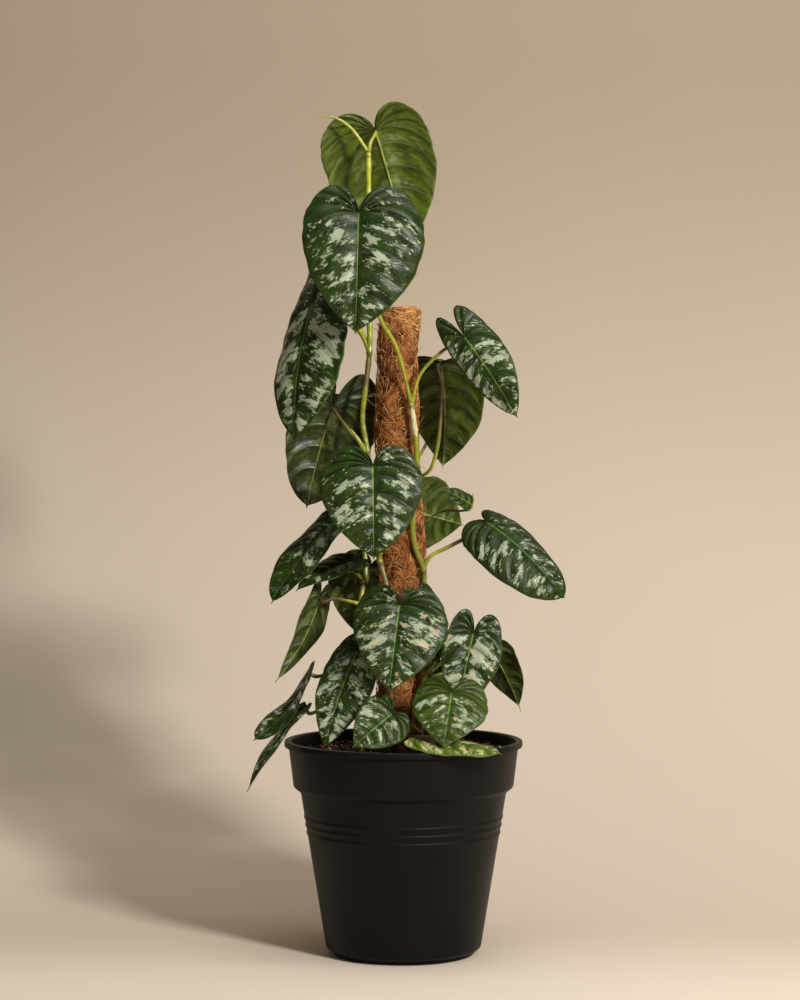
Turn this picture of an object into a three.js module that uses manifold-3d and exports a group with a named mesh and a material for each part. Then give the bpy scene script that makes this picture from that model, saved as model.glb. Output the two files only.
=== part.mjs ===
// Potted silver leaf philodendron climbing a coir pole.
// Units are millimetres, +Z is up. The origin is the middle of the pot's underside, on the surface
// the pot stands on. The side shown to a viewer faces -Y, and +X is to the viewer's right.
import * as THREE from 'three';
import { mergeVertices } from 'three/addons/utils/BufferGeometryUtils.js';
import Module from 'manifold-3d';

// Driving dimensions of the pot
const POT = {
  height: 215,
  lipRadius: 120,
  lipHeight: 6,
  lipRound: 1.5,
  lipUnderside: 2,
  collarTopRadius: 115.5,
  collarBottomRadius: 111,
  collarBottom: 170,
  shoulderRadius: 103.5,
  shoulder: 162,
  footBodyRadius: 78.6,
  footBody: 9,
  footRadius: 71,
  footHeight: 4,
  wall: 2.4,
  innerDrop: 4,
  floorCorner: 4,
  ribs: [122, 130, 138],
  ribHeight: 0.8,
  ribWidth: 4,
  cornerSteps: 3,
  padRadius: 14,
  footRingWidth: 5,
  sides: 40,
};
const NOTCH = { count: 4, width: 13.7, height: 3.6, firstAngle: -118.6 };
const DRAIN = { count: 6, radius: 5, ring: 48, sides: 10 };

// Driving dimensions of the soil and of the pole that stands in it
const SOIL = { top: 203, clearance: 0.5, rings: 7, sides: 36, lump: 1.3 };
const STEM_HOLE = { depth: 46, clearance: 1, sides: 8 };
const POLE = {
  bottom: 50,
  top: 650,
  radius: 22.4,
  topRadius: 19.5,
  holeClearance: 1.1,
  centre: [[50, -4], [300, -4], [400, -1], [530, -7], [615, -6], [650, -1]],
  lump: 0.75,
  sides: 20,
  rowHeight: 22,
  shoulder: 8,
};
// The wrap's rolled top, as shares of its radius there and heights below its highest point.
const POLE_ROLL = [[0.9, 2], [0.6, 0], [0.3, 1.5], [0, 7]];
const STAKE = { radius: 9, x: -4, headroom: 14, sides: 12, clearance: 0.3 };

// Driving dimensions shared by all the leaves and stems
const BLADE = {
  thickness: 0.8,
  rows: [2, 3, 4],
  columns: 3,
  veinRise: 0.25,
  veinBow: 0.07,
  ripples: 1.6,
  rippleShift: 0.2,
};
const SMALL_BLADE = { rows: [2, 2, 3], columns: 2, petioleShare: 0.7 };
const STEM = { radius: 2.7, sides: 6, step: 16 };
const PETIOLE = { radius: 1.7, sides: 6, step: 11, approach: 6, gap: 0.6 };
const SPIKE_SHARE = 0.8;
const NEAR = 0.1;

// Half outline of a heart-shaped blade as three cubic curves. Across is in half widths and along
// is in midrib lengths from the petiole. lobe is the depth of the lobes behind the petiole, and
// blunt fills out the end of the blade.
const outlineCurves = ({ lobe = 0.24, blunt = 0 }) => [
  new THREE.CubicBezierCurve(
    new THREE.Vector2(0, -0.03),
    new THREE.Vector2(0.04, -0.6 * lobe),
    new THREE.Vector2(0.22, -1.04 * lobe),
    new THREE.Vector2(0.46, -lobe),
  ),
  new THREE.CubicBezierCurve(
    new THREE.Vector2(0.46, -lobe),
    new THREE.Vector2(0.78, -0.9 * lobe),
    new THREE.Vector2(1, -0.02),
    new THREE.Vector2(1, 0.22),
  ),
  new THREE.CubicBezierCurve(
    new THREE.Vector2(1, 0.22),
    new THREE.Vector2(1, 0.5 + 0.3 * blunt),
    new THREE.Vector2(0.46 + 0.5 * blunt, 0.84 + 0.14 * blunt),
    new THREE.Vector2(0, 1),
  ),
];

// The leaves. base is where the petiole joins, tip is the end of the midrib, and faces is the way
// the upper side looks. arch is how far the midrib bends back from base to tip, fold is how steeply
// each half rises beside the midrib, droop how steeply it falls at the margin and twist how far the
// blade turns about its midrib, all in degrees. sweep is how far the midrib's middle stands to one
// side, in millimetres. skew is the share by which one half is wider.
const LEAVES = {
  leaf_crown_back: {
    base: [-28, 2, 827], tip: [4, 22, 709], width: 116, faces: [0.1, 1, 0.25],
    arch: 34, fold: 14, droop: 26, skew: -0.08, wave: 2, lobe: 0.2,
  },
  leaf_crown_front: {
    base: [-44, -78, 738], tip: [-47, -84, 622], width: 122, faces: [0.06, -1, 0.2],
    arch: 30, fold: 16, droop: 26, skew: -0.1, wave: 2,
  },
  leaf_upper_left: {
    base: [-91, -25, 653], tip: [-108, -45, 519], width: 90, faces: [-0.8, -0.9, 0.1],
    arch: 26, fold: 6, droop: 30, twist: -24, skew: -0.16, wave: 2, lobe: 0.6, blunt: 0.25,
  },
  leaf_upper_left_back: {
    base: [-72, 6, 549], tip: [-98, 18, 450], width: 95, faces: [-0.5, 1, 0.25],
    arch: 20, fold: 12, droop: 14, skew: 0.16, wave: 3, lobe: 0.4, blunt: 0.3,
  },
  leaf_middle_front: {
    base: [-30, -70, 491], tip: [-29, -80, 402], width: 103, faces: [0.02, -1, 0.2],
    arch: 26, fold: 10, droop: 24, wave: 1.6, skew: 0.04,
  },
  leaf_upper_right: {
    base: [61, -45, 618], tip: [111, -60, 541], width: 51, faces: [-0.2, -0.9, -0.1],
    arch: 10, fold: 3, droop: 26, twist: 18, skew: -0.08, sweep: -2, wave: 2, lobe: 0.36, blunt: 0.2,
  },
  leaf_upper_right_back: {
    base: [38, 20, 594], tip: [40, 34, 491], width: 102, faces: [0.6, 1, 0.2],
    arch: 30, fold: 10, droop: 16, wave: 3, lobe: 0.05,
  },
  leaf_arm_right: {
    base: [84, -35, 435], tip: [158, -62, 362], width: 62, faces: [0.25, -0.85, 0.6],
    arch: 70, fold: 8, droop: 30, skew: 0.3, sweep: 6, wave: 1.5, lobe: 0.17, blunt: 0.6,
  },
  leaf_small_right: {
    base: [67, -12, 453], tip: [42, -20, 467], width: 19, faces: [0.2, -0.9, 0.5],
    arch: 14, fold: 14, droop: 12, wave: 0.5, lobe: 0.05, blunt: 0.4, small: true,
  },
  leaf_middle_right_back: {
    base: [9, 45, 444], tip: [60, 62, 430], width: 85, faces: [-0.3, 1, 0.35],
    arch: 20, fold: 10, droop: 16, wave: 2,
  },
  leaf_middle_left: {
    base: [-58, -6, 446], tip: [-130, -42, 357], width: 57, faces: [-0.55, -0.6, 0.6],
    arch: 24, fold: 14, droop: 12, twist: -20, wave: 2, lobe: 0.16, blunt: 0.5,
  },
  leaf_folded_left: {
    base: [-52, -8, 395], tip: [-105, -46, 369], width: 44, faces: [-0.2, -0.55, 0.9],
    arch: 24, fold: 14, droop: 10, wave: 1.5,
  },
  leaf_striped_left: {
    base: [-33, 28, 388], tip: [-50, 42, 322], width: 84, faces: [-0.3, 1, 0.4],
    arch: 16, fold: 8, droop: 14, wave: 2,
  },
  leaf_hanging_left: {
    base: [-84, -15, 358], tip: [-125, -20, 279], width: 36, faces: [-0.7, 0.7, 0.1],
    arch: 16, fold: 14, droop: 8, skew: 0.1, sweep: 9, wave: 1.5, lobe: 0.2,
  },
  leaf_outer_left_high: {
    base: [-94, -25, 284], tip: [-147, -50, 221], width: 38, faces: [-0.72, -0.48, 0.65],
    arch: -36, fold: 12, droop: 10, twist: -50, wave: 1.5, lobe: 0.16, blunt: 0.7,
  },
  leaf_outer_left_low: {
    base: [-98, -45, 251], tip: [-151, -72, 177], width: 40, faces: [-0.75, -0.3, 0.55],
    arch: 14, fold: 12, droop: 10, skew: 0.3, wave: 1.5, lobe: 0.07,
  },
  leaf_low_front: {
    base: [-4, -74, 355], tip: [-14, -99, 274], width: 94, faces: [0, -1, 0.35],
    arch: 24, fold: 10, droop: 22, skew: -0.07, wave: 1.6,
  },
  leaf_low_left: {
    base: [-46, -50, 308], tip: [-77, -80, 217], width: 66, faces: [-0.45, -1, 0.2],
    arch: 24, fold: 16, droop: 16, twist: -40, skew: -0.1, wave: 2, lobe: 0.2,
  },
  leaf_soil_front: {
    base: [-12, -90, 250], tip: [-48, -110, 221], width: 54, faces: [0.12, -0.95, 0.35],
    arch: 20, fold: 10, droop: 16, wave: 1.5,
  },
  leaf_low_right_high: {
    base: [69, -45, 325], tip: [50, -62, 246], width: 60, faces: [0.1, -1, 0.25],
    arch: 18, fold: 14, droop: 10, skew: -0.08, wave: 2, lobe: 0.28,
  },
  leaf_low_right_front: {
    base: [47, -85, 270], tip: [39, -114, 221], width: 76, faces: [0, -0.9, 0.6],
    arch: 34, fold: 8, droop: 26, wave: 1.6, lobe: 0.36,
  },
  leaf_low_right_back: {
    base: [88, 15, 306], tip: [117, 20, 248], width: 50, faces: [0.6, 0.9, 0.3],
    arch: 22, fold: 10, droop: 12, wave: 2, lobe: 0.1,
  },
  leaf_on_rim: {
    base: [14, -92, 226], tip: [93, -109, 214], width: 50, faces: [0, -0.2, 1],
    arch: 10, fold: 4, droop: 26, wave: 1, lobe: 0.14, blunt: 0.6,
  },
  leaf_low_shaded: {
    base: [16, -36, 358], tip: [34, -42, 296], width: 50, faces: [0.6, -0.8, 0.2],
    arch: 14, fold: 10, droop: 14, wave: 1.5,
  },
  leaf_back_high: {
    base: [-38, 44, 745], tip: [-34, 66, 668], width: 72, faces: [-0.1, 1, 0.3],
    arch: 24, fold: 12, droop: 22, wave: 2,
  },
  leaf_back_left: {
    base: [-58, 52, 545], tip: [-76, 84, 462], width: 78, faces: [-0.4, 1, 0.35],
    arch: 24, fold: 10, droop: 22, wave: 2,
  },
  leaf_back_right: {
    base: [52, 68, 585], tip: [58, 96, 515], width: 64, faces: [0.2, 1, 0.35],
    arch: 24, fold: 10, droop: 22, wave: 2,
  },
  leaf_back_middle: {
    base: [-14, 66, 470], tip: [-20, 92, 388], width: 84, faces: [-0.1, 1, 0.35],
    arch: 26, fold: 10, droop: 22, wave: 2,
  },
  leaf_back_low: {
    base: [0, 66, 322], tip: [-6, 98, 246], width: 80, faces: [-0.1, 1, 0.35],
    arch: 26, fold: 10, droop: 22, wave: 2,
  },
  leaf_back_soil: {
    base: [44, 58, 284], tip: [60, 88, 226], width: 64, faces: [0.3, 1, 0.5],
    arch: 26, fold: 10, droop: 22, wave: 2,
  },
};

// The climbing stems. Each path runs from its foot in the soil to its top, and each petiole leaves
// the stem at from and passes the points of via on its way to the back of its leaf.
const VINES = {
  vine_left: {
    path: [
      [-14, -33, 203], [-13, -32, 260], [-14, -30, 330], [-17, -27, 372], [-24, -23, 398],
      [-33, -22, 440], [-36, -17, 505], [-41, -15, 537], [-37, -14, 577], [-34, -12, 607],
      [-34, -10, 640], [-35, -9, 700], [-35, -8, 762], [-35, -8, 807],
    ],
    petioles: {
      leaf_crown_back: { from: [-35, -8, 805], via: [[-33, -8, 815]] },
      leaf_upper_left: { from: [-34, -12, 606], via: [[-44, -6, 627], [-60, 2, 640], [-78, 2, 650]] },
      leaf_upper_left_back: { from: [-37, -17, 508], via: [[-52, -14, 524], [-66, -8, 542]] },
      leaf_middle_front: { from: [-24, -23, 398], via: [[-22, -40, 420], [-26, -52, 455]] },
      leaf_low_front: { from: [-13, -31, 290], via: [[-10, -44, 312], [-6, -58, 340]] },
      leaf_back_high: { from: [-35, -10, 668], via: [[-38, 8, 688], [-41, 26, 710], [-40, 34, 738]] },
    },
    spikes: [
      { from: [-35, -8, 805], via: [[-53, -12, 829], [-67, -16, 838]], to: [-85, -20, 841] },
      { from: [-37, -17, 500], via: [[-42, -20, 512]], to: [-53, -22, 529] },
    ],
  },
  vine_right: {
    path: [
      [28, -18, 203], [27, -18, 260], [24, -18, 320], [21, -18, 372], [20, -19, 388],
      [12, -23, 409], [9, -25, 430], [12, -25, 465], [13, -25, 502], [11, -26, 530], [7, -27, 557],
    ],
    petioles: {
      leaf_crown_front: {
        from: [7, -27, 556],
        via: [[1, -34, 582], [-8, -46, 611], [-23, -56, 637], [-34, -60, 680], [-42, -64, 722]],
      },
      leaf_upper_right: { from: [8, -27, 553], via: [[16, -29, 581], [28, -30, 596], [48, -30, 612]] },
      leaf_arm_right: { from: [20, -19, 389], via: [[27, -22, 401], [44, -23, 410], [64, -22, 420]] },
      leaf_low_shaded: { from: [23, -18, 340], via: [[20, -24, 350]] },
      leaf_low_right_back: { from: [26, -18, 285], via: [[42, -8, 296], [66, 2, 310]] },
    },
    spikes: [],
  },
  vine_back: {
    path: [
      [14, 30, 203], [14, 30, 260], [14, 29, 330], [15, 28, 400], [14, 27, 440], [12, 27, 480],
      [9, 28, 520], [4, 30, 555],
    ],
    petioles: {
      leaf_upper_right_back: {
        from: [12, 27, 478], via: [[26, 14, 486], [33, 4, 505], [37, 0, 535], [38, 4, 575]],
      },
      leaf_middle_right_back: { from: [14, 27, 438], via: [[11, 34, 443]] },
      leaf_small_right: {
        from: [14, 27, 430], via: [[26, 12, 438], [42, -2, 446], [58, -4, 446], [66, -4, 448]],
      },
      leaf_back_left: { from: [4, 30, 553], via: [[-10, 34, 560], [-34, 40, 554]] },
      leaf_back_right: {
        from: [11, 27, 492], via: [[15, 44, 498], [25, 59, 516], [40, 61, 550], [49, 58, 578]],
      },
      leaf_back_middle: { from: [15, 28, 405], via: [[4, 40, 440], [-8, 52, 466]] },
      leaf_back_low: { from: [14, 30, 290], via: [[4, 44, 312], [-14, 52, 326]] },
      leaf_back_soil: { from: [14, 30, 250], via: [[26, 40, 272]] },
    },
    spikes: [
      { from: [58, -4, 446], via: [[68, -1, 448]], to: [70, -1, 465] },
    ],
  },
  vine_low_left: {
    path: [
      [-42, -14, 203], [-45, -12, 250], [-46, -10, 300], [-43, -4, 355], [-38, 7, 385], [-40, 13, 412],
    ],
    petioles: {
      leaf_middle_left: { from: [-40, 13, 410], via: [[-48, 9, 432]] },
      leaf_folded_left: { from: [-39, 5, 376], via: [[-46, 2, 382]] },
      leaf_striped_left: { from: [-39, 4, 374], via: [[-36, 12, 379], [-34, 18, 386]] },
      leaf_hanging_left: { from: [-43, -5, 352], via: [[-56, -10, 356], [-72, -18, 358]] },
      leaf_low_left: { from: [-46, -11, 270], via: [[-46, -28, 290], [-45, -42, 304]] },
      leaf_outer_left_high: { from: [-46, -11, 276], via: [[-60, -18, 280], [-78, -22, 282]] },
      leaf_outer_left_low: { from: [-44, -13, 236], via: [[-60, -28, 246], [-80, -42, 250]] },
    },
    spikes: [],
  },
  vine_low_right: {
    path: [[16, -42, 203], [17, -38, 235], [19, -33, 265], [23, -28, 288]],
    petioles: {
      leaf_low_right_high: { from: [23, -28, 286], via: [[40, -30, 306], [56, -34, 316]] },
      leaf_low_right_front: { from: [18, -36, 248], via: [[28, -50, 260], [40, -66, 266]] },
      leaf_soil_front: { from: [17, -39, 226], via: [[4, -52, 238], [-8, -60, 246]] },
      leaf_on_rim: { from: [16, -41, 212], via: [[10, -60, 214], [8, -78, 217]] },
    },
    spikes: [],
  },
};

// Colours and finishes
const finish = (color, roughness) => new THREE.MeshStandardMaterial({ color, roughness, metalness: 0 });
const FINISHES = {
  pot: () => finish(0x1e1d1b, 0.6),
  soil: () => finish(0x2b211a, 0.95),
  coir: () => finish(0x8c5a32, 0.95),
  stake: () => finish(0xa98458, 0.8),
  stem: () => finish(0x7c8a2e, 0.45),
  leaf: () => finish(0x2e4a2c, 0.45),
};

const wasm = await Module();
wasm.setup();

const radians = THREE.MathUtils.degToRad;
const toVector = ([x, y, z]) => new THREE.Vector3(x, y, z);

// A geometry with only its positions, each corner held once, and faces that point out.
function weld(geometry) {
  const bare = geometry.clone();
  bare.deleteAttribute('normal');
  bare.deleteAttribute('uv');
  const welded = mergeVertices(bare, 1e-4);
  const corners = welded.index.array;
  const [a, b, c] = [new THREE.Vector3(), new THREE.Vector3(), new THREE.Vector3()];
  let volume = 0;
  for (let i = 0; i < corners.length; i += 3) {
    a.fromBufferAttribute(welded.attributes.position, corners[i]);
    b.fromBufferAttribute(welded.attributes.position, corners[i + 1]);
    c.fromBufferAttribute(welded.attributes.position, corners[i + 2]);
    volume += a.dot(b.cross(c));
  }
  if (volume < 0) {
    corners.reverse();
  }
  return welded;
}

function toSolid(geometry) {
  const welded = weld(geometry);
  return new wasm.Manifold(new wasm.Mesh({
    numProp: 3,
    vertProperties: new Float32Array(welded.attributes.position.array),
    triVerts: new Uint32Array(welded.index.array),
  }));
}

function toGeometry(solid) {
  const mesh = solid.getMesh();
  const geometry = new THREE.BufferGeometry();
  geometry.setAttribute('position', new THREE.BufferAttribute(mesh.vertProperties, 3));
  geometry.setIndex(new THREE.BufferAttribute(mesh.triVerts, 1));
  geometry.computeVertexNormals();
  return geometry;
}

// A solid of revolution about Z from a profile of [radius, height] points.
function turned(profile, sides) {
  const points = profile.map(([radius, height]) => new THREE.Vector2(radius, height));
  return new THREE.LatheGeometry(points, sides).rotateX(Math.PI / 2);
}

function rod(radius, bottom, top, sides, x = 0, y = 0) {
  const height = top - bottom;
  return new THREE.CylinderGeometry(radius, radius, height, sides)
    .rotateX(Math.PI / 2)
    .translate(x, y, bottom + height / 2);
}

function tube(points, radius, sides, step) {
  const path = new THREE.CatmullRomCurve3(points, false, 'centripetal');
  const section = new THREE.Shape().absarc(0, 0, radius, 0, 2 * Math.PI, false);
  return new THREE.ExtrudeGeometry(section, {
    extrudePath: path,
    steps: Math.max(3, Math.ceil(path.getLength() / step)),
    curveSegments: sides / 2,
    bevelEnabled: false,
  });
}

// Where a leaf sits: its own directions and the curve of its midrib.
function leafFrame({ base, tip, faces, arch, twist = 0, sweep = 0 }) {
  const origin = toVector(base);
  const chord = toVector(tip).sub(origin);
  const along = chord.clone().normalize();
  const up = toVector(faces);
  up.addScaledVector(along, -up.dot(along)).normalize();
  const across = new THREE.Vector3().crossVectors(along, up);
  const bend = radians(arch);
  const length = (chord.length() * bend) / (2 * Math.sin(bend / 2));
  const heading = (v) => bend * (0.5 - Math.max(v, 0));
  const middle = (v) => {
    const reach = Math.max(v, 0);
    const spare = v - reach;
    const forward = (Math.sin(bend / 2) - Math.sin(heading(reach))) / bend + spare * Math.cos(bend / 2);
    const lift = (Math.cos(heading(reach)) - Math.cos(bend / 2)) / bend + spare * Math.sin(bend / 2);
    return origin.clone()
      .addScaledVector(along, length * forward)
      .addScaledVector(up, length * lift)
      .addScaledVector(across, 4 * sweep * v * (1 - reach));
  };
  const turnAt = (v) => radians(twist) * (Math.max(v, 0) - 0.5);
  const lifted = (v) => up.clone()
    .multiplyScalar(Math.cos(heading(v)))
    .addScaledVector(along, -Math.sin(heading(v)));
  const normal = (v) => lifted(v)
    .multiplyScalar(Math.cos(turnAt(v)))
    .addScaledVector(across, Math.sin(turnAt(v)));
  const sideways = (v) => across.clone()
    .multiplyScalar(Math.cos(turnAt(v)))
    .addScaledVector(lifted(v), -Math.sin(turnAt(v)));
  return { sideways, middle, normal };
}

// A point of a blade's middle surface. side is +1 or -1, u runs across in half widths, v along in
// midrib lengths.
function bladePoint(leaf, frame, side, u, v) {
  const fold = radians(leaf.fold);
  const turn = fold + radians(leaf.droop);
  const half = (leaf.width / 2) * (turn / (Math.sin(fold) + Math.sin(radians(leaf.droop))));
  const reach = u * half * (1 + side * (leaf.skew ?? 0));
  const slope = fold - (turn * reach) / half;
  const out = (half * (Math.sin(fold) - Math.sin(slope))) / turn;
  const lift = (half * (Math.cos(slope) - Math.cos(fold))) / turn;
  const phase = 2 * Math.PI * (BLADE.ripples * v + BLADE.rippleShift * side);
  const ripple = leaf.wave * u * u * Math.sin(phase);
  return frame.middle(v)
    .addScaledVector(frame.sideways(v), side * out)
    .addScaledVector(frame.normal(v), lift + ripple);
}

function bladeNormal(leaf, frame, side, u, v) {
  if (u === 0) {
    return frame.normal(v);
  }
  const d = 1e-3;
  const across = bladePoint(leaf, frame, side, u + d, v).sub(bladePoint(leaf, frame, side, u - d, v));
  const along = bladePoint(leaf, frame, side, u, v + d).sub(bladePoint(leaf, frame, side, u, v - d));
  return across.cross(along).multiplyScalar(side).normalize();
}

// Rows of flat points from the midrib to the margin of half a blade, from the notch to the tip.
function halfRows(leaf) {
  const { rows, columns } = leaf.small ? SMALL_BLADE : BLADE;
  const curves = outlineCurves(leaf);
  const margin = [curves[0].getPoint(0)];
  curves.forEach((curve, part) => {
    for (let step = 1; step <= rows[part]; step += 1) {
      margin.push(curve.getPoint(step / rows[part]));
    }
  });
  return margin.map((edge) => {
    const start = Math.max(0, edge.y - BLADE.veinRise * edge.x);
    const row = [];
    for (let column = 0; column <= columns; column += 1) {
      const share = column / columns;
      const bow = 4 * share * (1 - share) * BLADE.veinBow * edge.x;
      row.push([edge.x * share, start + (edge.y - start) * share - bow]);
    }
    return row;
  });
}

// One closed leaf blade, split into the same triangles on its upper and lower side.
function bladeGeometry(leaf) {
  const frame = leafFrame(leaf);
  const half = halfRows(leaf);
  const columns = half[0].length - 1;
  const upper = [];
  const lower = [];
  const corner = new Map();
  const place = (side, row, column) => {
    const [u, v] = half[row][column];
    const key = u < 1e-6 ? `m${v.toFixed(5)}` : `${side}_${u.toFixed(5)}_${v.toFixed(5)}`;
    if (!corner.has(key)) {
      const middle = bladePoint(leaf, frame, side, u, v);
      const normal = bladeNormal(leaf, frame, side, u, v);
      corner.set(key, upper.length);
      upper.push(middle.clone().addScaledVector(normal, BLADE.thickness / 2));
      lower.push(middle.clone().addScaledVector(normal, -BLADE.thickness / 2));
    }
    return corner.get(key);
  };
  const index = [];
  const addFace = (side, a, b, c) => {
    if (a !== b && b !== c && c !== a) {
      index.push(...(side > 0 ? [a, b, c] : [a, c, b]));
    }
  };
  const faces = [];
  const rim = [];
  for (const side of [1, -1]) {
    for (let row = 0; row + 1 < half.length; row += 1) {
      for (let column = 0; column < columns; column += 1) {
        const a = place(side, row, column);
        const b = place(side, row, column + 1);
        const c = place(side, row + 1, column + 1);
        const d = place(side, row + 1, column);
        faces.push([side, a, b, c], [side, a, c, d]);
      }
      rim.push([side, place(side, row, columns), place(side, row + 1, columns)]);
    }
  }
  const under = upper.length;
  for (const [side, a, b, c] of faces) {
    addFace(side, a, b, c);
    addFace(-side, a + under, b + under, c + under);
  }
  for (const [side, a, b] of rim) {
    addFace(side, a, a + under, b + under);
    addFace(side, a, b + under, b);
  }
  const geometry = new THREE.BufferGeometry().setFromPoints([...upper, ...lower]);
  geometry.setIndex(index);
  geometry.computeVertexNormals();
  return geometry;
}

// A petiole's points, which end square to the back of its leaf.
function petiolePoints({ from, via }, leaf) {
  const frame = leafFrame(leaf);
  const back = frame.normal(0).negate();
  const joint = frame.middle(0);
  const end = BLADE.thickness / 2 + PETIOLE.gap;
  return [
    toVector(from),
    ...via.map(toVector),
    joint.clone().addScaledVector(back, end + PETIOLE.approach),
    joint.clone().addScaledVector(back, end),
  ];
}

function vineGeometry({ path, petioles, spikes }) {
  const foot = toVector(path[0]);
  const buried = foot.clone().setZ(foot.z - STEM_HOLE.depth);
  let vine = toSolid(tube([buried, ...path.map(toVector)], STEM.radius, STEM.sides, STEM.step));
  for (const [name, petiole] of Object.entries(petioles)) {
    const points = petiolePoints(petiole, LEAVES[name]);
    const thin = LEAVES[name].small ? SMALL_BLADE.petioleShare : 1;
    vine = vine.add(toSolid(tube(points, PETIOLE.radius * thin, PETIOLE.sides, PETIOLE.step)));
  }
  for (const { from, via, to } of spikes) {
    const points = [from, ...via, to].map(toVector);
    vine = vine.add(toSolid(tube(points, PETIOLE.radius * SPIKE_SHARE, PETIOLE.sides, PETIOLE.step)));
  }
  return toGeometry(vine);
}

// How far to the side the wrap's middle stands at a height.
function poleCentre(z) {
  const next = Math.max(1, POLE.centre.findIndex(([height]) => height >= z));
  const [[z0, x0], [z1, x1]] = [POLE.centre[next - 1], POLE.centre[next]];
  return THREE.MathUtils.mapLinear(z, z0, z1, x0, x1);
}

// Slow waves round and along the wrap, between -2 and 2.
function poleLump(turn, z) {
  return Math.sin(2 * turn + 0.05 * z) + Math.sin(3 * turn - 0.11 * z) * Math.sin(0.07 * z + 1);
}

// The coir wrap: a lumpy sleeve, bored for the stake from below, with its top rolled in.
function poleGeometry() {
  const boreRadius = STAKE.radius + STAKE.clearance;
  const boreTop = POLE.top - STAKE.headroom;
  const shoulder = POLE.top - POLE.shoulder;
  const rows = Math.round((shoulder - POLE.bottom) / POLE.rowHeight);
  const profile = [[0, boreTop], [boreRadius, boreTop], [boreRadius, POLE.bottom]];
  for (let row = 0; row <= rows; row += 1) {
    const share = row / rows;
    const radius = THREE.MathUtils.lerp(POLE.radius, POLE.topRadius, Math.max(0, share - 0.5) * 2);
    profile.push([radius, THREE.MathUtils.lerp(POLE.bottom, shoulder, share)]);
  }
  for (const [share, drop] of POLE_ROLL) {
    profile.push([POLE.topRadius * share, POLE.top - drop]);
  }
  const geometry = turned(profile, POLE.sides);
  const position = geometry.attributes.position;
  for (let i = 0; i < position.count; i += 1) {
    const [x, y, z] = [position.getX(i), position.getY(i), position.getZ(i)];
    const radius = Math.hypot(x, y);
    const isBore = radius < boreRadius + NEAR && z < boreTop + NEAR;
    const isLumpy = !isBore && z > SOIL.top;
    const swell = isLumpy ? 1 + (POLE.lump * poleLump(Math.atan2(y, x), z)) / POLE.radius : 1;
    position.setXYZ(i, x * swell + (isBore ? STAKE.x : poleCentre(z)), y * swell, z);
  }
  return toGeometry(toSolid(geometry));
}

function stakeGeometry() {
  const top = POLE.top - STAKE.headroom - STAKE.clearance;
  return toGeometry(toSolid(rod(STAKE.radius, POLE.bottom, top, STAKE.sides, STAKE.x)));
}

// Radius of the pot's outside at a height, below the collar.
const potRadius = (z) => THREE.MathUtils.mapLinear(
  z, POT.footBody, POT.shoulder, POT.footBodyRadius, POT.shoulderRadius,
);

// Points of a rounded corner that runs from the foot out to the body's wall.
function footCorner() {
  const points = [];
  for (let step = 0; step <= POT.cornerSteps; step += 1) {
    const angle = (step / POT.cornerSteps) * (Math.PI / 2);
    points.push([
      POT.footRadius + (POT.footBodyRadius - POT.footRadius) * Math.sin(angle),
      POT.footBody - (POT.footBody - POT.footHeight) * Math.cos(angle),
    ]);
  }
  return points;
}

// Points of the step from the shoulder out to the foot of the collar.
function shoulderStep() {
  const middle = (POT.shoulder + POT.collarBottom) / 2;
  const curve = new THREE.CubicBezierCurve(
    new THREE.Vector2(POT.shoulderRadius, POT.shoulder),
    new THREE.Vector2(POT.shoulderRadius, middle),
    new THREE.Vector2(POT.collarBottomRadius, middle),
    new THREE.Vector2(POT.collarBottomRadius, POT.collarBottom),
  );
  return curve.getPoints(POT.cornerSteps).map(({ x, y }) => [x, y]);
}

function potOutside() {
  const ribPoints = POT.ribs.flatMap((rib) => [
    [potRadius(rib - POT.ribWidth / 2), rib - POT.ribWidth / 2],
    [potRadius(rib) + POT.ribHeight, rib - POT.ribWidth / 4],
    [potRadius(rib) + POT.ribHeight, rib + POT.ribWidth / 4],
    [potRadius(rib + POT.ribWidth / 2), rib + POT.ribWidth / 2],
  ]);
  return [
    [POT.footRadius - POT.footRingWidth, POT.footHeight],
    [POT.footRadius - POT.footRingWidth, 0],
    [POT.footRadius, 0],
    ...footCorner(),
    ...ribPoints,
    ...shoulderStep(),
    [POT.collarTopRadius, POT.height - POT.lipHeight - POT.lipUnderside],
    [POT.lipRadius, POT.height - POT.lipHeight],
    [POT.lipRadius, POT.height - POT.lipRound],
    [POT.lipRadius - POT.lipRound, POT.height],
    [POT.collarTopRadius - POT.wall + POT.lipRound, POT.height],
  ];
}

// The inside of the pot from the rim down to the floor, which the soil also follows.
const floorTop = POT.footHeight + POT.wall;
const potInside = () => [
  [POT.collarTopRadius - POT.wall, POT.height - POT.lipRound],
  [POT.collarBottomRadius - POT.wall, POT.collarBottom],
  [POT.shoulderRadius - POT.wall, POT.shoulder - POT.innerDrop],
  [POT.footBodyRadius - POT.wall, floorTop + POT.floorCorner],
  [POT.footBodyRadius - POT.wall - POT.floorCorner, floorTop],
];

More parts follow.
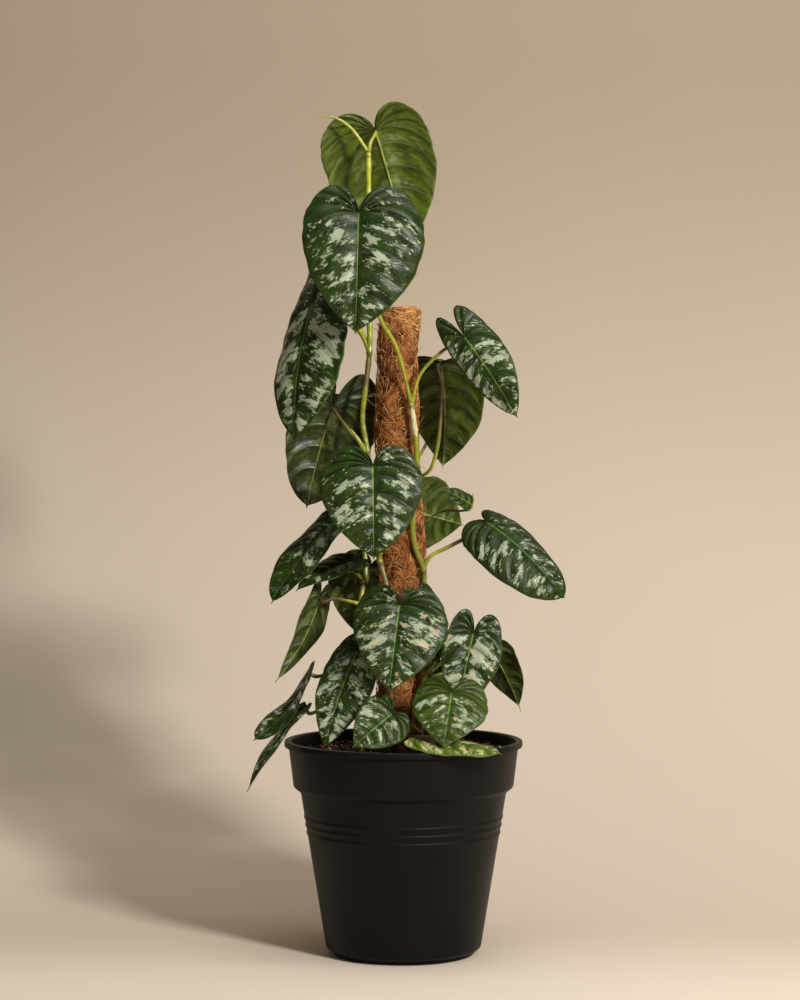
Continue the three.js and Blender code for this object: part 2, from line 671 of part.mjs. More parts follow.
function potGeometry() {
  const profile = [
    [0, 0],
    [POT.padRadius, 0],
    [POT.padRadius, POT.footHeight],
    ...potOutside(),
    ...potInside(),
    [0, floorTop],
  ];
  let pot = toSolid(turned(profile, POT.sides));
  for (let notch = 0; notch < NOTCH.count; notch += 1) {
    const turn = radians(NOTCH.firstAngle + (360 / NOTCH.count) * notch);
    const cutter = new THREE.BoxGeometry(4 * POT.footRingWidth, NOTCH.width, 2 * NOTCH.height)
      .translate(POT.footRadius, 0, 0)
      .rotateZ(turn);
    pot = pot.subtract(toSolid(cutter));
  }
  for (let drain = 0; drain < DRAIN.count; drain += 1) {
    const turn = (2 * Math.PI * drain) / DRAIN.count;
    const [x, y] = [DRAIN.ring * Math.cos(turn), DRAIN.ring * Math.sin(turn)];
    pot = pot.subtract(toSolid(rod(DRAIN.radius, -POT.wall, 2 * floorTop, DRAIN.sides, x, y)));
  }
  return toGeometry(pot);
}

// Low lumps over the soil, between -2 and 2.
function soilLump(x, y) {
  return Math.sin(0.13 * x + 1) * Math.sin(0.11 * y) + Math.sin(0.21 * x - 0.17 * y);
}

// The soil fills the pot and has a plain hole for the pole and for each stem.
function soilGeometry() {
  const [topEdge, nextEdge] = potInside();
  const topRadius = THREE.MathUtils.mapLinear(SOIL.top, nextEdge[1], topEdge[1], nextEdge[0], topEdge[0])
    - SOIL.clearance;
  const floor = floorTop + SOIL.clearance;
  const walls = potInside().filter(([, z]) => z < SOIL.top).reverse();
  const profile = [
    [0, floor],
    ...walls.map(([radius, z]) => [radius - SOIL.clearance, Math.max(z, floor)]),
  ];
  for (let ring = 0; ring <= SOIL.rings; ring += 1) {
    profile.push([topRadius * (1 - ring / SOIL.rings), SOIL.top]);
  }
  const ground = turned(profile, SOIL.sides);
  const position = ground.attributes.position;
  for (let i = 0; i < position.count; i += 1) {
    const [x, y, z] = [position.getX(i), position.getY(i), position.getZ(i)];
    if (z > SOIL.top - NEAR && Math.hypot(x, y) < topRadius - NEAR) {
      position.setZ(i, z + SOIL.lump * soilLump(x, y));
    }
  }
  let soil = toSolid(ground);
  const above = SOIL.top + 4 * SOIL.lump;
  const holeRadius = POLE.radius + POLE.holeClearance;
  const holeBottom = POLE.bottom - SOIL.clearance;
  const poleHole = rod(holeRadius, holeBottom, above, POLE.sides, poleCentre(SOIL.top));
  soil = soil.subtract(toSolid(poleHole));
  for (const { path: [[x, y, z]] } of Object.values(VINES)) {
    const bottom = z - STEM_HOLE.depth - SOIL.clearance;
    const hole = rod(STEM.radius + STEM_HOLE.clearance, bottom, above, STEM_HOLE.sides, x, y);
    soil = soil.subtract(toSolid(hole));
  }
  return toGeometry(soil);
}

const plant = new THREE.Group();

function addPart(name, geometry, material) {
  const part = new THREE.Mesh(geometry, material);
  part.name = name;
  plant.add(part);
}

addPart('pot', potGeometry(), FINISHES.pot());
addPart('soil', soilGeometry(), FINISHES.soil());
addPart('coir_pole', poleGeometry(), FINISHES.coir());
addPart('pole_stake', stakeGeometry(), FINISHES.stake());
for (const [name, vine] of Object.entries(VINES)) {
  addPart(name, vineGeometry(vine), FINISHES.stem());
}
for (const [name, leaf] of Object.entries(LEAVES)) {
  addPart(name, bladeGeometry(leaf), FINISHES.leaf());
}

export default plant;
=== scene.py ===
"""Looks of a potted silver leaf philodendron that climbs a coir pole.

Each class stands for one sub-assembly. It holds its sizes in millimetres, builds its fine meshes in
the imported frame, in metres, and dresses them. Across a blade, u runs in half widths from the midrib,
and along it, v runs in midrib lengths from the petiole.
"""
import logging
import math
from collections.abc import Sequence
from dataclasses import dataclass, field
from enum import Enum
from itertools import combinations

import bpy
import numpy as np
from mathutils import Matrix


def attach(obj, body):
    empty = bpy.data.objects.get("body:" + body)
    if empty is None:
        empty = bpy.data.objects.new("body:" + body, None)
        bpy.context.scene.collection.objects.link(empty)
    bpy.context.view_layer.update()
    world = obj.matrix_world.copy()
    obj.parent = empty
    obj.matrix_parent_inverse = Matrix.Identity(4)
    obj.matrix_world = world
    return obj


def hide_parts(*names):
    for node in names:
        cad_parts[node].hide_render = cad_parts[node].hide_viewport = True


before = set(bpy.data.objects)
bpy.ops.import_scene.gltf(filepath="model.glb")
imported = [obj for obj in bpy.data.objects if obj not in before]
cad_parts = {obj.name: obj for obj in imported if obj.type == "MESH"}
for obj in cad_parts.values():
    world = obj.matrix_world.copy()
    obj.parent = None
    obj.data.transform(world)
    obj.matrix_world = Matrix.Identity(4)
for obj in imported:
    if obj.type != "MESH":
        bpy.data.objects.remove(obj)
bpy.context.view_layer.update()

LOG = logging.getLogger("plant")
MM = 0.001
BODY = "root"

Array = np.ndarray
Random = np.random.Generator
Pair = tuple[float, float]
Point = tuple[float, float, float]
Colour = tuple[float, float, float, float]
Material = bpy.types.Material
Outputs = bpy.types.NodeOutputs
Socket = bpy.types.NodeSocket
Feed = Socket | float | tuple
Feeds = dict[str | int, Feed]


class Slot(Enum):
    """The record's material slots, which are passed along with each new piece."""

    POT = "pot"
    SOIL = "soil"
    COIR = "coir"
    STEM = "stem"
    LEAF = "leaf"


def srgb(red: int, green: int, blue: int) -> Colour:
    """Turns a screen colour into a linear one.

    Args:
        red: Red, from 0 to 255.
        green: Green, from 0 to 255.
        blue: Blue, from 0 to 255.

    Returns:
        The linear colour with full alpha.
    """
    shares = [value / 255 for value in (red, green, blue)]
    linear = [c / 12.92 if c <= 0.04045 else ((c + 0.055) / 1.055) ** 2.4 for c in shares]
    return (*linear, 1.0)


def unit(vectors: Array) -> Array:
    """Returns the vectors at length one."""
    return vectors / np.maximum(np.linalg.norm(vectors, axis=-1, keepdims=True), 1e-12)


def smooth(low: float, high: float, values: Array) -> Array:
    """Returns 0 below low, 1 above high and an even curve between."""
    share = np.clip((values - low) / (high - low), 0, 1)
    return share * share * (3 - 2 * share)


def swell(values: Array, centre: float, width: float) -> Array:
    """Returns 1 at a centre and less and less away from it."""
    return np.exp(-(((values - centre) / width) ** 2))


def lumps(points: Array, size: float, seed: int) -> Array:
    """Gives smooth random values, mostly from -1 to 1.

    Args:
        points: Places, in millimetres.
        size: Width of a lump, in millimetres.
        seed: Picks the pattern.

    Returns:
        One value for each point.
    """
    waves = 20
    random = np.random.default_rng(seed)
    directions = unit(random.normal(size=(waves, 3))) * random.uniform(0.6, 1.5, (waves, 1))
    phases = random.uniform(0, 2 * np.pi, waves)
    return np.sin(points @ directions.T * (np.pi / size) + phases).sum(axis=-1) / math.sqrt(waves / 2) / 1.6


@dataclass
class MeshBatch:
    """Bodies that are gathered and then joined in one mesh.

    Attributes:
        points: Corners of each body, in millimetres.
        faces: Corner numbers of each body, four a face, with -1 last in a triangle.
        finishes: Material number of each face.
        values: Named vectors of each corner, which the materials read.
    """

    points: list[Array] = field(default_factory=list)
    faces: list[Array] = field(default_factory=list)
    finishes: list[Array] = field(default_factory=list)
    values: dict[str, list[Array]] = field(default_factory=dict)
    count: int = 0

    def add(self, points: Array, faces: Array, finish: int | Array = 0, **values: Array) -> None:
        """Adds one body or a set of like bodies.

        Args:
            points: Corners, in millimetres.
            faces: Corner numbers, four a face, with -1 last in a triangle.
            finish: Material number of all faces or of each.
            **values: Named vectors, one for all corners or one each.
        """
        self.points.append(points)
        self.faces.append(np.where(faces < 0, -1, faces + self.count))
        self.finishes.append(np.broadcast_to(np.asarray(finish), len(faces)))
        for name, vectors in values.items():
            shaped = np.broadcast_to(np.asarray(vectors, float), (len(points), 3))
            self.values.setdefault(name, []).append(shaped)
        self.count += len(points)

    def build(self, name: str, materials: Sequence[Material]) -> bpy.types.Object:
        """Makes the joined mesh and its object.

        Args:
            name: Name of the piece.
            materials: Materials in the order of the material numbers.

        Returns:
            The new object, smooth shaded and in metres.
        """
        mesh = bpy.data.meshes.new(name)
        corners = np.concatenate(self.points) * MM
        faces = [face[:3] if face[3] < 0 else face for face in np.concatenate(self.faces).tolist()]
        mesh.from_pydata(corners.tolist(), [], faces)
        for label, arrays in self.values.items():
            attribute = mesh.attributes.new(label, "FLOAT_VECTOR", "POINT")
            attribute.data.foreach_set("vector", np.concatenate(arrays).astype(np.float32).ravel())
        for material in materials:
            mesh.materials.append(material)
        mesh.polygons.foreach_set("material_index", np.concatenate(self.finishes).astype(np.int32))
        mesh.polygons.foreach_set("use_smooth", np.ones(len(faces), bool))
        mesh.update()
        piece = bpy.data.objects.new(name, mesh)
        bpy.context.scene.collection.objects.link(piece)
        return piece


def settle(piece: bpy.types.Object, slot: Slot, *nodes: str) -> None:
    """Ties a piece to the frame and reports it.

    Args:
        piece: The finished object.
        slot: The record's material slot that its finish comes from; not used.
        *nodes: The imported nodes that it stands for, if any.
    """
    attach(piece, BODY)
    if nodes:
        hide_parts(*nodes)
    LOG.info("%s: %d faces", piece.name, len(piece.data.polygons))


def ring_faces(rings: int, sides: int, first: int, start: int, end: int) -> Array:
    """Joins rings of corners and closes both ends with a fan.

    Args:
        rings: Number of rings.
        sides: Corners of each ring.
        first: Number of the first ring's first corner.
        start: Number of the corner in the middle of the first ring.
        end: Number of the corner in the middle of the last ring.

    Returns:
        Corner numbers, four a face, with -1 last in a triangle.
    """
    ring = np.arange(sides)
    after = (ring + 1) % sides
    top = first + (rings - 1) * sides
    quads = [
        np.stack([ring + low, after + low, after + low + sides, ring + low + sides], axis=1)
        for low in range(first, top, sides)
    ]
    none = np.full(sides, -1)
    opening = np.stack([after + first, ring + first, np.full(sides, start), none], axis=1)
    closing = np.stack([ring + top, after + top, np.full(sides, end), none], axis=1)
    return np.concatenate([*quads, opening, closing])


def tubes(paths: Array, radii: Array, sides: int) -> tuple[Array, Array, Array]:
    """Sweeps a round section along each of a set of paths.

    Args:
        paths: Points, as paths by steps by 3.
        radii: Radius at each point, as paths by steps.
        sides: Sides of the section.

    Returns:
        Corners, faces and each corner's share along its path.
    """
    count, steps, _ = paths.shape
    tangents = unit(np.gradient(paths, axis=1))
    axis = np.eye(3)[np.abs(tangents[:, 0]).argmin(axis=1)]
    side = unit(np.cross(tangents[:, 0], axis))
    angles = np.arange(sides) * 2 * np.pi / sides
    rings = []
    for step in range(steps):
        tangent = tangents[:, step]
        side = unit(side - tangent * (side * tangent).sum(axis=1, keepdims=True))
        other = np.cross(tangent, side)
        spokes = side[:, None] * np.cos(angles)[:, None] + other[:, None] * np.sin(angles)[:, None]
        rings.append(paths[:, step, None] + spokes * radii[:, step, None, None])
    body = np.stack(rings, axis=1).reshape(count, steps * sides, 3)
    corners = np.concatenate([body, paths[:, :1], paths[:, -1:]], axis=1)
    single = ring_faces(steps, sides, 0, steps * sides, steps * sides + 1)
    offsets = (np.arange(count) * (steps * sides + 2))[:, None, None]
    faces = np.where(single < 0, -1, single + offsets).reshape(-1, 4)
    share = np.concatenate([np.repeat(np.linspace(0, 1, steps), sides), [0, 1]])
    return corners.reshape(-1, 3), faces, np.tile(share, count)


def lathe(profile: Array, sides: int) -> tuple[Array, Array]:
    """Turns a profile about Z.

    Args:
        profile: Points of radius and height that start and end on the axis.
        sides: Sides of the turned body.

    Returns:
        Corners and faces of the closed body. The corners are the first point, then the rings, then
        the last point.
    """
    angles = np.arange(sides) * 2 * np.pi / sides
    radius, height = profile[1:-1, 0, None], profile[1:-1, 1, None]
    rings = np.stack(
        [radius * np.cos(angles), radius * np.sin(angles), np.broadcast_to(height, (len(radius), sides))],
        axis=2,
    )
    first, last = [[0, 0, profile[0, 1]]], [[0, 0, profile[-1, 1]]]
    corners = np.concatenate([first, rings.reshape(-1, 3), last])
    return corners, ring_faces(len(radius), sides, 1, 0, len(corners) - 1)


def stem_curve(points: Sequence[Point], step: float) -> Array:
    """Runs a centripetal Catmull-Rom curve through points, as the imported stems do.

    Args:
        points: The points to pass, in millimetres.
        step: Distance between the points returned.

    Returns:
        Evenly spaced points on the curve.
    """
    knots = np.asarray(points, float)
    knots = np.concatenate([[2 * knots[0] - knots[1]], knots, [2 * knots[-1] - knots[-2]]])
    t = np.linspace(0, 1, 24, endpoint=False)[:, None]
    pieces = []
    for a, b, c, d in zip(knots, knots[1:], knots[2:], knots[3:]):
        before, here, after = (np.linalg.norm(q - p) ** 0.5 for p, q in ((a, b), (b, c), (c, d)))
        leave = ((b - a) / before - (c - a) / (before + here) + (c - b) / here) * here
        arrive = ((c - b) / here - (d - b) / (here + after) + (d - c) / after) * here
        square = -3 * b + 3 * c - 2 * leave - arrive
        cube = 2 * b - 2 * c + leave + arrive
        pieces.append(b + leave * t + square * t**2 + cube * t**3)
    fine = np.concatenate([*pieces, knots[-2:-1]])
    reach = np.concatenate([[0], np.cumsum(np.linalg.norm(np.diff(fine, axis=0), axis=1))])
    stops = np.linspace(0, reach[-1], max(4, round(reach[-1] / step)))
    return np.stack([np.interp(stops, reach, fine[:, axis]) for axis in range(3)], axis=1)


def lengths_along(path: Array) -> Array:
    """Returns the distance along a path at each of its points."""
    return np.concatenate([[0], np.cumsum(np.linalg.norm(np.diff(path, axis=0), axis=1))])


@dataclass
class Graph:
    """Short calls that add and join nodes in one node tree."""

    tree: bpy.types.NodeTree

    def add(self, kind: str, feeds: Feeds | None = None, **settings: object) -> bpy.types.Node:
        """Adds a node.

        Args:
            kind: The node's type without its ShaderNode prefix.
            feeds: What goes into its sockets, by name or number.
            **settings: Properties of the node.

        Returns:
            The node.
        """
        node = self.tree.nodes.new(kind if kind.startswith("NodeGroup") else f"ShaderNode{kind}")
        for name, value in settings.items():
            setattr(node, name, value)
        for name, value in (feeds or {}).items():
            if isinstance(value, Socket):
                self.tree.links.new(value, node.inputs[name])
            else:
                node.inputs[name].default_value = value
        return node

    def math(self, operation: str, *values: Feed, clamp: bool = False) -> Socket:
        """Returns the result of a Math node."""
        node = self.add("Math", dict(enumerate(values)), operation=operation, use_clamp=clamp)
        return node.outputs[0]

    def plus(self, first: Feed, second: Feed, clamp: bool = False) -> Socket:
        """Returns the sum of two values."""
        return self.math("ADD", first, second, clamp=clamp)

    def minus(self, first: Feed, second: Feed) -> Socket:
        """Returns the first value less the second."""
        return self.math("SUBTRACT", first, second)

    def times(self, first: Feed, second: Feed, clamp: bool = False) -> Socket:
        """Returns the product of two values."""
        return self.math("MULTIPLY", first, second, clamp=clamp)

    def scaled(self, vector: Feed, by: tuple) -> Socket:
        """Returns a vector multiplied part by part."""
        node = self.add("VectorMath", {0: vector, 1: by}, operation="MULTIPLY")
        return node.outputs[0]

    def between(self, value: Feed, low: Feed, high: Feed, start: float = 0, end: float = 1) -> Socket:
        """Returns start below low, end above high and a smooth change between."""
        feeds = {"Value": value, "From Min": low, "From Max": high, "To Min": start, "To Max": end}
        return self.add("MapRange", feeds, interpolation_type="SMOOTHSTEP").outputs[0]

    def mix(self, factor: Feed, first: Feed, second: Feed) -> Socket:
        """Returns the mix of two colours."""
        return self.add("Mix", {0: factor, 6: first, 7: second}, data_type="RGBA").outputs[2]

    def tint(self, colour: Feed, other: Feed, mask: Feed, share: float) -> Socket:
        """Returns a colour mixed with another by a share of a mask."""
        return self.mix(self.times(mask, share), colour, other)

    def noise(self, vector: Feed, scale: float, detail: float = 3, roughness: float = 0.5) -> Socket:
        """Returns a noise value."""
        feeds = {"Vector": vector, "Scale": scale, "Detail": detail, "Roughness": roughness}
        return self.add("TexNoise", feeds).outputs[0]

    def attribute(self, name: str) -> tuple[Socket, Socket, Socket, Socket]:
        """Returns a named vector of the mesh and its three parts."""
        vector = self.add("Attribute", attribute_name=name).outputs["Vector"]
        return (vector, *self.add("SeparateXYZ", {0: vector}).outputs)

    def bump(self, height: Feed, distance: float, strength: float = 1) -> Socket:
        """Returns a normal raised by height over a distance in millimetres."""
        feeds = {"Strength": strength, "Distance": distance * MM, "Height": height}
        return self.add("Bump", feeds).outputs[0]

    def place(self) -> Socket:
        """Returns the place on the object, in millimetres."""
        return self.scaled(self.add("TexCoord").outputs["Object"], (1 / MM,) * 3)

    def surface(self, colour: Feed, roughness: Feed, normal: Feed | None = None, **fixed: Feed) -> None:
        """Ends a material in its Principled shader.

        Args:
            colour: The base colour.
            roughness: The roughness.
            normal: The surface normal, if it is changed.
            **fixed: Values of the shader's other sockets, named with _ for each space.
        """
        feeds: Feeds = {"Base Color": colour, "Roughness": roughness}
        if normal is not None:
            feeds["Normal"] = normal
        feeds.update({name.replace("_", " "): value for name, value in fixed.items()})
        shader = self.add("BsdfPrincipled", feeds)
        self.add("OutputMaterial", {"Surface": shader.outputs[0]})


def new_material(name: str) -> tuple[Material, Graph]:
    """Makes an empty node material.

    Args:
        name: Name of the material.

    Returns:
        The material and the graph that fills it.
    """
    material = bpy.data.materials.new(name)
    material.use_nodes = True
    material.node_tree.nodes.clear()
    return material, Graph(material.node_tree)


class Effect:
    """A shader node group with named sockets that several materials share."""

    def __init__(self, name: str, inputs: dict[str, str], outputs: dict[str, str]) -> None:
        """Makes the group's sockets.

        Args:
            name: Name of the group.
            inputs: Type of each input by its name.
            outputs: Type of each output by its name.
        """
        self.tree = bpy.data.node_groups.new(name, "ShaderNodeTree")
        for in_out, sockets in (("INPUT", inputs), ("OUTPUT", outputs)):
            for label, kind in sockets.items():
                self.tree.interface.new_socket(label, in_out=in_out, socket_type=f"NodeSocket{kind}")
        self.graph = Graph(self.tree)
        self.inputs = self.graph.add("NodeGroupInput").outputs
        self.ends = self.graph.add("NodeGroupOutput").inputs

    def give(self, **values: Socket) -> None:
        """Joins values to the group's outputs."""
        for label, value in values.items():
            self.tree.links.new(value, self.ends[label])

    def use(self, graph: Graph, **feeds: Feed) -> Outputs:
        """Places the group in a material.

        Args:
            graph: The material's graph.
            **feeds: What goes into the group's inputs.

        Returns:
            The placed group's outputs.
        """
        return graph.add("Group", feeds, node_tree=self.tree).outputs


def mottle_effect() -> Effect:
    """Makes a group that gives cloudy light and dark areas with a set contrast.

    Returns:
        The effect.
    """
    effect = Effect("mottle", {"Vector": "Vector", "Size": "Float", "Contrast": "Float"}, {"Value": "Float"})
    graph = effect.graph
    scale = graph.math("DIVIDE", 1.0, effect.inputs["Size"])
    node = graph.add("TexNoise", {"Vector": effect.inputs["Vector"], "Scale": scale, "Detail": 4.0})
    half = graph.math("DIVIDE", 0.25, effect.inputs["Contrast"])
    low = graph.minus(0.5, half)
    high = graph.plus(0.5, half)
    effect.give(Value=graph.between(node.outputs[0], low, high))
    return effect


def grain_effect() -> Effect:
    """Makes a group that gives fine streaks along one direction.

    Returns:
        The effect.
    """
    effect = Effect("streaks", {"Vector": "Vector", "Stretch": "Vector", "Size": "Float"}, {"Value": "Float"})
    graph = effect.graph
    vector = graph.add(
        "VectorMath", {0: effect.inputs["Vector"], 1: effect.inputs["Stretch"]}, operation="MULTIPLY"
    ).outputs[0]
    scale = graph.math("DIVIDE", 1.0, effect.inputs["Size"])
    node = graph.add("TexNoise", {"Vector": vector, "Scale": scale, "Detail": 3.0, "Roughness": 0.6})
    effect.give(Value=graph.between(node.outputs[0], 0.3, 0.7))
    return effect


def dust_effect() -> Effect:
    """Makes a group that gives where dust lies: on what faces up, in patches.

    Returns:
        The effect.
    """
    effect = Effect("dust", {"Vector": "Vector", "Amount": "Float"}, {"Mask": "Float"})
    graph = effect.graph
    normal = graph.add("NewGeometry").outputs["Normal"]
    upward = graph.between(graph.add("SeparateXYZ", {0: normal}).outputs[2], 0.1, 1.0)
    patches = graph.between(graph.noise(effect.inputs["Vector"], 0.12, 5, 0.7), 0.4, 0.65)
    specks = graph.between(graph.noise(effect.inputs["Vector"], 1.1, 2), 0.62, 0.7)
    lying = graph.times(upward, patches)
    both = graph.plus(lying, graph.times(specks, 0.35))
    effect.give(Mask=graph.times(both, effect.inputs["Amount"], clamp=True))
    return effect


def vein_effect() -> Effect:
    """Makes a group that gives the lines of a blade: its midrib, its side veins and its margin.

    Returns:
        The effect.
    """
    effect = Effect(
        "blade_lines",
        {"Place": "Vector", "Flat": "Vector"},
        {"Midrib": "Float", "Veins": "Float", "Crease": "Float", "Net": "Float", "Margin": "Float"},
    )
    graph = effect.graph
    share, vein, along = graph.add("SeparateXYZ", {0: effect.inputs["Place"]}).outputs
    across = graph.math("ABSOLUTE", graph.add("SeparateXYZ", {0: effect.inputs["Flat"]}).outputs[0])
    rib_width = graph.between(along, 0.0, 1.0, 1.25, 0.35)
    beside = graph.between(across, graph.times(rib_width, 0.5), rib_width)
    nearest = graph.math("PINGPONG", vein, 0.5)
    line_width = graph.between(share, 0.0, 1.0, 0.085, 0.03)
    veins = graph.minus(1.0, graph.between(nearest, 0.0, line_width))
    fade = graph.between(share, 0.8, 1.0, 1.0, 0.0)
    fine = graph.scaled(effect.inputs["Flat"], (0.12, 0.9, 1.0))
    net = graph.between(graph.noise(fine, 0.9, 2), 0.5, 0.72)
    margin = graph.between(share, 0.965, 0.995)
    crease = graph.times(graph.between(nearest, 0.0, 0.3, 1.0, 0.0), fade)
    effect.give(
        Midrib=graph.minus(1.0, beside), Veins=graph.times(veins, fade), Crease=crease, Net=net, Margin=margin
    )
    return effect


# Painted shade in the creases, the bump depth of the creases, and the near-black green that painted shade
# mixes towards.
CREASE_SHADE = 0.33
CREASE_DEPTH = 1.8
PAINTED_SHADE_COLOUR = srgb(8, 12, 4)


@dataclass(frozen=True)
class Effects:
    """The node groups that the materials share."""

    mottle: Effect
    grain: Effect
    dust: Effect
    lines: Effect

    def cloud(self, graph: Graph, vector: Feed, size: float, contrast: float) -> Socket:
        """Returns cloudy values whose patches have a size in millimetres."""
        return self.mottle.use(graph, Vector=vector, Size=size, Contrast=contrast)["Value"]

    def streaks(self, graph: Graph, vector: Feed, stretch: Point, size: float) -> Socket:
        """Returns streaks of a size in millimetres that run where the stretch is small."""
        return self.grain.use(graph, Vector=vector, Stretch=stretch, Size=size)["Value"]


def paint_crease_shade(graph: Graph, colour: Socket, lines: Outputs) -> Socket:
    """Paints shade on a blade along the creases beside its veins, and all over for the shadow it stands in.

    Args:
        graph: The material's graph.
        colour: The blade's colour.
        lines: The blade's lines.

    Returns:
        The colour with the painted shade.
    """
    # Painted shade: the larger of the blade's own darkening and the darkening along its creases.
    shade = graph.attribute("shade")[1]
    dark = graph.math("MAXIMUM", shade, graph.times(lines["Crease"], CREASE_SHADE))
    return graph.mix(dark, colour, PAINTED_SHADE_COLOUR)


@dataclass(frozen=True)
class UpperFinish:
    """Upper side of a blade: dark green with jagged silver patches between the veins."""

    green: Colour = srgb(40, 60, 12)
    deep: Colour = srgb(17, 29, 4)
    young: Colour = srgb(94, 114, 26)
    rib: Colour = srgb(104, 134, 48)
    silver: Colour = srgb(178, 184, 160)
    cream: Colour = srgb(188, 188, 122)
    veil: Colour = srgb(86, 106, 68)
    tan: Colour = srgb(196, 156, 118)
    edge: Colour = srgb(80, 102, 44)
    patch: float = 9.0
    fleck: float = 2.4
    stretch: float = 0.62
    slant: float = 0.42
    bare_level: float = 0.815
    silver_gain: float = 0.225
    hard_edge: float = 0.01
    veil_width: float = 0.05

    def patches(self, graph: Graph, lines: Outputs) -> tuple[Socket, Socket]:
        """Places the silver.

        Args:
            graph: The material's graph.
            lines: The blade's lines.

        Returns:
            Where the silver lies, and the paler green round it.
        """
        paint, across, down, seed = graph.attribute("paint")
        _, silver, _, _ = graph.attribute("trait")
        _, share, _, along = graph.attribute("place")
        outward = graph.math("ABSOLUTE", across)
        slanted = graph.minus(down, graph.times(outward, self.slant))
        stretched = graph.times(across, self.stretch)
        place = graph.add("CombineXYZ", {0: stretched, 1: slanted, 2: seed}).outputs[0]
        torn = graph.noise(place, 1 / self.patch, 6, 0.62)
        wide = graph.noise(paint, 0.03, 1)
        score = graph.plus(torn, graph.times(wide, 0.28))
        inner = graph.between(outward, 1.0, 6.0, 0.13, 0.0)
        outer = graph.between(share, 0.86, 0.98, 0.0, 0.14)
        lobes = graph.between(along, -0.04, 0.16, 0.08, 0.0)
        by_vein = graph.times(lines["Veins"], 0.03)
        for shadowed in (inner, outer, lobes, by_vein):
            score = graph.minus(score, shadowed)
        level = graph.minus(self.bare_level, graph.times(silver, self.silver_gain))
        patches = graph.between(score, level, graph.plus(level, self.hard_edge))
        dots = graph.between(graph.noise(place, 1 / self.fleck, 2), 0.6, 0.62)
        near = graph.between(score, graph.minus(level, 0.13), graph.minus(level, self.veil_width))
        patches = graph.math("MAXIMUM", patches, graph.times(dots, near))
        veil = graph.between(score, graph.minus(level, self.veil_width), graph.minus(level, 0.03))
        return patches, veil

    def build(self, effects: Effects) -> Material:
        """Makes the material.

        Args:
            effects: The shared node groups.

        Returns:
            The material.
        """
        material, graph = new_material("leaf_upper")
        place = graph.attribute("place")[0]
        flat = graph.attribute("flat")[0]
        _, _, brown, warm = graph.attribute("trait")
        lines = effects.lines.use(graph, Place=place, Flat=flat)
        patches, veil = self.patches(graph, lines)
        cloud = effects.cloud(graph, flat, 13.0, 0.9)
        green = graph.mix(cloud, self.deep, self.green)
        green = graph.tint(green, self.young, warm, 0.75)
        green = graph.tint(green, self.rib, lines["Net"], 0.14)
        fine = effects.cloud(graph, flat, 1.3, 0.8)
        long_way = graph.scaled(flat, (0.5, 1.0, 1.0))
        worn = effects.cloud(graph, long_way, 4.0, 0.7)
        thin = graph.plus(graph.times(fine, 0.25), graph.times(worn, 0.4))
        bright = graph.mix(graph.between(warm, 0.6, 0.9), self.silver, self.cream)
        bright = graph.mix(thin, bright, self.veil)
        colour = graph.tint(green, self.veil, veil, 0.6)
        colour = graph.mix(patches, colour, bright)
        colour = graph.tint(colour, self.green, lines["Veins"], 0.25)
        spots = graph.between(graph.noise(flat, 0.085, 4, 0.6), 0.56, 0.6)
        spots = graph.times(graph.times(spots, brown), patches)
        colour = graph.tint(colour, self.tan, spots, 0.85)
        colour = graph.tint(colour, self.rib, lines["Midrib"], 0.8)
        colour = graph.tint(colour, self.edge, lines["Margin"], 0.45)
        # Painted shade: darker along the creases and over blades that stand in shadow.
        colour = paint_crease_shade(graph, colour, lines)
        roughness = graph.between(fine, 0.0, 1.0, 0.29, 0.4)
        height = graph.minus(graph.times(fine, 0.25), lines["Veins"])
        height = graph.minus(height, graph.times(lines["Net"], 0.2))
        height = graph.minus(height, graph.times(lines["Crease"], CREASE_DEPTH))
        normal = graph.bump(height, 0.35)
        graph.surface(colour, roughness, normal, Specular_IOR_Level=0.22)
        return material


@dataclass(frozen=True)
class UnderFinish:
    """Under side of a blade: olive green with pale raised veins."""

    olive: Colour = srgb(68, 78, 32)
    deep: Colour = srgb(36, 46, 14)
    young: Colour = srgb(88, 106, 10)
    young_deep: Colour = srgb(42, 56, 3)
    rib: Colour = srgb(158, 168, 70)
    pale: Colour = srgb(138, 148, 88)

    def build(self, effects: Effects) -> Material:
        """Makes the material.

        Args:
            effects: The shared node groups.

        Returns:
            The material.
        """
        material, graph = new_material("leaf_under")
        place = graph.attribute("place")[0]
        flat = graph.attribute("flat")[0]
        _, _, _, warm = graph.attribute("trait")
        lines = effects.lines.use(graph, Place=place, Flat=flat)
        long_way = graph.scaled(flat, (0.5, 1.0, 1.0))
        cloud = effects.cloud(graph, long_way, 9.0, 0.8)
        old = graph.mix(cloud, self.deep, self.olive)
        fresh = graph.mix(cloud, self.young_deep, self.young)
        colour = graph.mix(warm, old, fresh)
        flecks = graph.between(graph.noise(long_way, 0.1, 5, 0.65), 0.53, 0.58)
        colour = graph.tint(colour, self.pale, flecks, 0.3)
        colour = graph.tint(colour, self.pale, lines["Net"], 0.15)
        colour = graph.tint(colour, self.pale, lines["Veins"], 0.22)
        colour = graph.tint(colour, self.rib, lines["Midrib"], 0.85)
        # Painted shade: darker along the creases and over blades that stand in shadow.
        colour = paint_crease_shade(graph, colour, lines)
        fine = effects.cloud(graph, flat, 1.1, 0.8)
        height = graph.plus(graph.times(fine, 0.2), lines["Veins"])
        height = graph.plus(height, graph.times(lines["Net"], 0.25))
        height = graph.plus(height, graph.times(lines["Crease"], CREASE_DEPTH))
        roughness = graph.between(fine, 0.0, 1.0, 0.28, 0.4)
        graph.surface(colour, roughness, graph.bump(height, 0.4), Specular_IOR_Level=0.35)
        return material


